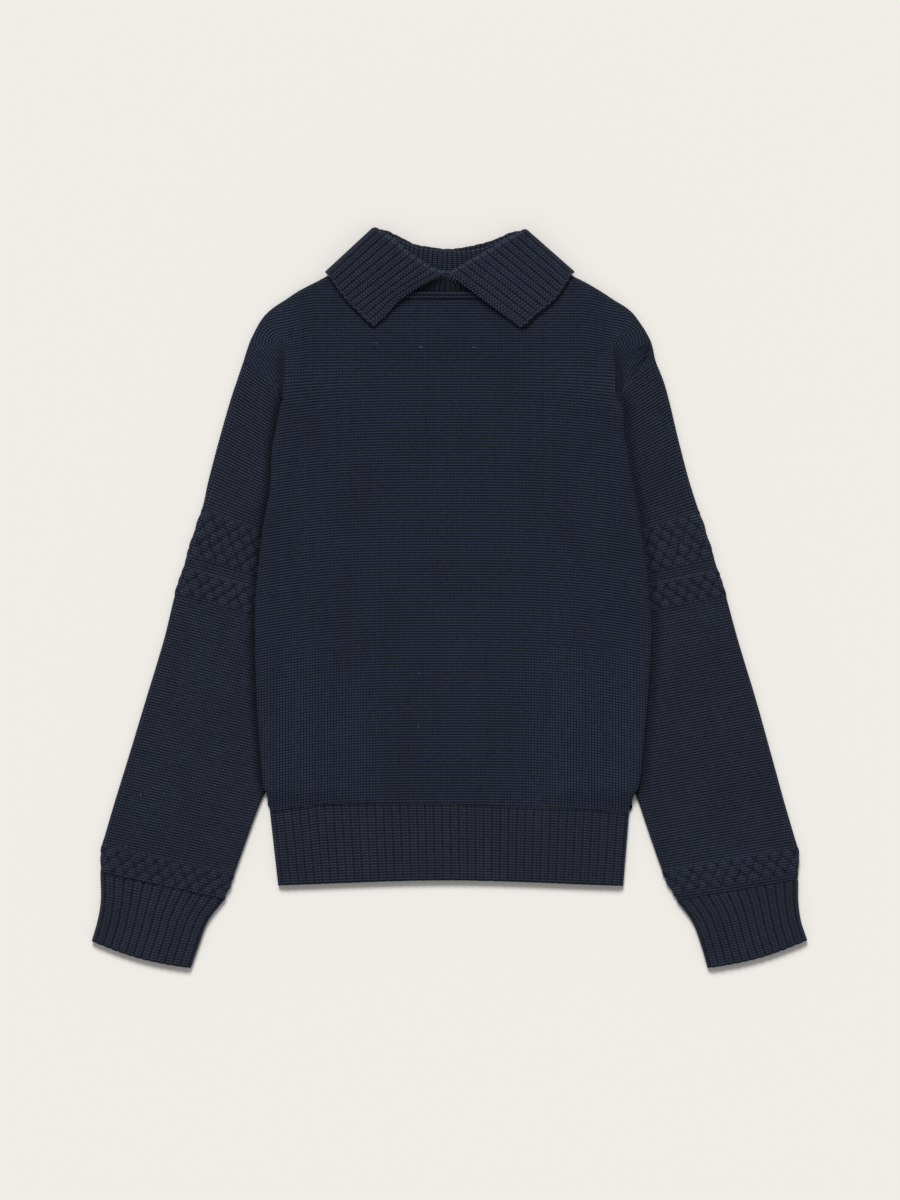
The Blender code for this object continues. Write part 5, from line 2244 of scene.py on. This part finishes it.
def plait_tree() -> bpy.types.NodeTree:
    """Geometry nodes that set yarn grains along edges, leaning to one side and the other by turns.

    Returns:
        The tree, made once.
    """
    known = bpy.data.node_groups.get("yarn plait")
    if known:
        return known
    sizes = dict.fromkeys(("Pitch", "Offset", "Lean"), "Float")
    tree = geometry_tree("yarn plait", {**sizes, "Grain": "Vector", "Yarn": "Material"})
    given = tree.node("NodeGroupInput").outputs
    line = tree.fed("GeometryNodeMeshToCurve", {"Mesh": given["Geometry"]})
    spots = {"Curve": line, "Length": given["Pitch"]}
    spaced = tree.fed("GeometryNodeResampleCurve", spots, mode="LENGTH")
    tangent = tree.node("GeometryNodeInputTangent").outputs[0]
    facing = {"axis": "X", "pivot_axis": "Z"}
    along = tree.fed("FunctionNodeAlignRotationToVector", {"Vector": tangent}, **facing)
    ball = tree.fed("GeometryNodeMeshUVSphere", {"Segments": 8, "Rings": 5, "Radius": 1.0})
    grain = tree.fed("GeometryNodeTransform", {"Geometry": ball, "Scale": given["Grain"]})
    laid = {"Points": spaced, "Instance": grain, "Rotation": along}
    placed = tree.fed("GeometryNodeInstanceOnPoints", laid)
    odd = tree.math("FLOORED_MODULO", tree.node("GeometryNodeInputIndex").outputs[0], 2.0)
    sign = tree.math("MULTIPLY_ADD", odd, 2.0, -1.0)
    aside = tree.fed("ShaderNodeCombineXYZ", {"Y": tree.math("MULTIPLY", sign, given["Offset"])})
    moved = tree.fed("GeometryNodeTranslateInstances", {"Instances": placed, "Translation": aside})
    lean = tree.fed("ShaderNodeCombineXYZ", {"Z": tree.math("MULTIPLY", sign, given["Lean"])})
    turned = tree.fed("GeometryNodeRotateInstances", {"Instances": moved, "Rotation": lean})
    return finished(tree, turned, given["Yarn"], smooth=True)


@dataclass
class Edges:
    """Selvedges, bindings, seams and tack stitches that finish the garment."""

    tack_places: tuple = ((-29.4, 263.0), (26.2, 263.0))

    def selvedge(self) -> Thing:
        """Make the plaited selvedge along the collar's split and outer edges.

        Returns:
            The selvedge as one object.
        """
        lines = []
        for fold, edge, corner in (
            (FOLD_LEFT, EDGE_LEFT, SIDE_CORNERS[0]),
            (FOLD_RIGHT, EDGE_RIGHT, SIDE_CORNERS[1]),
        ):
            top, tip = np.asarray(fold[0], float), np.asarray(edge[0], float)
            shares = np.linspace(0.03, 1.0, 30)
            split = top + (tip - top) * shares[:, None]
            rise = WING_FOLD_HEIGHT + (WING_EDGE_HEIGHT - WING_FOLD_HEIGHT) * shares
            if corner[0] < 0:
                split = split + split_bow(shares)[:, :2]
            lines.append(at_height(split, rise + 1.3))
            outer = evenly((*edge, (corner[0] * 0.998, corner[1] - 0.5)), 60)
            outer += np.array((-0.45 * math.copysign(1.0, corner[0]), 0.55))
            lines.append(at_height(outer, WING_EDGE_HEIGHT + 1.4))
        centre = evenly(((-4.5, 340.4), (-1.8, 341.6), (1.0, 340.6)), 6)
        lines.append(at_height(centre, WING_FOLD_HEIGHT + 0.9))
        bridge = evenly(((-13.0, 336.6), (-6.0, 338.4), (1.0, 337.6), (7.0, 333.8)), 12)
        for drop in (0.0, 2.0):
            lines.append(at_height(bridge - (0.0, drop), WING_FOLD_HEIGHT - 0.6 - drop))
        return Plait().lay("collar_selvedge", lines, EDGE_FINISH.material("edge_yarn"))

    def binding(self) -> Thing:
        """Make the two plaits of the neck trim.

        Returns:
            Both plaits as one object.
        """
        line = evenly(TRIM_LINE, 200)
        beside = beside_line(line)
        lines = [at_height(line + beside * aside, TRIM_HEIGHT + 1.2) for aside in (-2.2, 1.9)]
        plait = Plait(pitch=2.2, offset=0.35, lean=30.0, grain=(1.4, 0.85, 0.9))
        return plait.lay("neck_trim_plait", lines, TRIM_YARN.material("trim_plait_yarn"))

    def armholes(self) -> Thing:
        """Make the low welts over the armhole seams.

        Returns:
            Both welts as one object.
        """
        seams = [evenly(half(ARMHOLE_SEAMS, side.value), 40)[1:-1] for side in Side]
        lines = [at_height(seam, np.linspace(6.1, 6.5, len(seam))) for seam in seams]
        plait = Plait(pitch=1.6, offset=0.5, lean=28.0, grain=(1.5, 0.9, 0.7))
        return plait.lay("armhole_welts", lines, PANEL_YARN.material("welt_yarn"))

    def tacks(self) -> Thing:
        """Make the two small tack stitches that show through under the neck.

        Returns:
            Both stitches as one object.
        """
        lines = []
        for across, up in self.tack_places:
            height = float(front_height(np.array([across]), np.array([up]))[0]) + 0.5
            lines.append(np.array(((across - 0.9, up, height), (across + 0.9, up - 0.4, height))))
        plait = Plait(pitch=1.5, offset=0.0, lean=0.0, grain=(0.8, 0.4, 0.35))
        return plait.lay("tack_stitches", lines, TACK_FINISH.material("tack_thread"))


@dataclass
class Studio:
    """Pale floor, soft lights and the camera straight above."""

    photo_size: tuple = (900, 1200)
    millimetres_a_pixel: float = 1.05
    aim: tuple = (0.00055, -0.0027)
    distance: float = 6.0
    sharp_height: float = 0.012
    sensor: float = 36.0
    view_reach: float = 50.0
    floor_half: float = 12.0
    floor_level: float = -0.0004
    floor_colour: tuple = (0.875, 0.851, 0.805)
    sky_strength: float = 0.38
    sun_strength: float = 2.72
    sun_width: float = 24.0
    sun_lean: float = 44.0
    sun_side: float = 8.0
    sun_place: tuple = (0.0, 2.0, 3.0)

    def build(self) -> None:
        """Make the floor, the lights and the camera."""
        bpy.context.scene.view_settings.view_transform = "Standard"
        floor = bpy.data.meshes.new("floor")
        corners = ((-1, -1), (1, -1), (1, 1), (-1, 1))
        places = [(x * self.floor_half, y * self.floor_half, self.floor_level) for x, y in corners]
        floor.from_pydata(places, [], [(0, 1, 2, 3)])
        ground = in_scene("floor", floor)
        paint = bpy.data.materials.new("pale_floor")
        paint.use_nodes = True
        shader = paint.node_tree.nodes["Principled BSDF"]
        shader.inputs["Base Color"].default_value = (*self.floor_colour, 1.0)
        shader.inputs["Roughness"].default_value = 0.9
        shader.inputs["Specular IOR Level"].default_value = 0.1
        floor.materials.append(paint)
        world = bpy.context.scene.world or bpy.data.worlds.new("studio")
        bpy.context.scene.world = world
        world.use_nodes = True
        sky = world.node_tree.nodes["Background"]
        sky.inputs["Color"].default_value = (1.0, 1.0, 1.0, 1.0)
        sky.inputs["Strength"].default_value = self.sky_strength
        light = bpy.data.lights.new("soft_sun", "SUN")
        light.energy = self.sun_strength
        light.angle = math.radians(self.sun_width)
        holder = in_scene("soft_sun", light)
        holder.location = self.sun_place
        holder.rotation_euler = (-math.radians(self.sun_lean), -math.radians(self.sun_side), 0.0)
        self.camera()

    def camera(self) -> None:
        """Hang the camera over the garment, looking straight down."""
        view = bpy.data.cameras.new("photo_camera")
        view.sensor_width = self.sensor
        tall = self.photo_size[1] * self.millimetres_a_pixel * MILLIMETRE
        view.lens = self.sensor * (self.distance - self.sharp_height) / tall
        view.clip_end = self.view_reach
        holder = in_scene("photo_camera", view)
        holder.location = (*self.aim, self.distance)
        bpy.context.scene.camera = holder


def report(thing: Thing) -> None:
    """Log how many triangles a piece has."""
    thing.data.calc_loop_triangles()
    LOG.info("%s: %d triangles", thing.name, len(thing.data.loop_triangles))


def dressed(thing: Thing, relief: Relief, finish: YarnFinish, title: str, node: str) -> Thing:
    """Raise a piece's knit, give it its yarn and let it stand for its solid.

    Args:
        thing: The piece.
        relief: The heights of its knit.
        finish: Its yarn.
        title: The material's name.
        node: The solid it replaces.

    Returns:
        The finished piece.
    """
    relief.apply(thing, finish.material(title))
    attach(thing, BODY)
    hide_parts(node)
    report(thing)
    return thing


def main() -> None:
    """Build the studio and each knitted piece, from the back up."""
    logging.basicConfig(level=logging.INFO, format="%(name)s: %(message)s")
    purl = Relief(purl=0.32, bobble=1.8)
    rib = Relief(rib=0.8)
    back = dressed(BackPanel().build(), Relief(), PANEL_FINISH, "panel_yarn", "back_panel")
    hem = Hem()
    hem_back = dressed(hem.back(), Relief(), RIB_FINISH, "rib_yarn", "hem_back")
    for side in Side:
        sleeve = Sleeve(side).build()
        cuff = Cuff(side).build()
        dressed(sleeve, purl, PANEL_FINISH, "panel_yarn", f"sleeve_{side.word}")
        dressed(cuff, rib, CUFF_FINISH, "cuff_yarn", f"cuff_{side.word}")
    front = dressed(FrontPanel().build(), purl, BODY_FINISH, "body_yarn", "front_panel")
    hem_front = dressed(hem.front(), Relief(rib=0.5), RIB_FINISH, "rib_yarn", "hem_front")
    collar = Collar()
    stand = dressed(collar.stand(), rib, STAND_FINISH, "stand_yarn", "collar_stand")
    fall = dressed(collar.fall(), rib, COLLAR_FINISH, "collar_yarn", "collar_fall")
    trim = dressed(NeckTrim().build(), Relief(), CORD_SHADE_FINISH, "trim_painted_shade", "neck_trim")
    edges = Edges()
    selvedge, binding, welts, tacks = edges.selvedge(), edges.binding(), edges.armholes(), edges.tacks()
    for extra in (selvedge, binding, welts, tacks):
        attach(extra, BODY)
        report(extra)
    Studio().build()


if __name__ == "__main__":
    main()
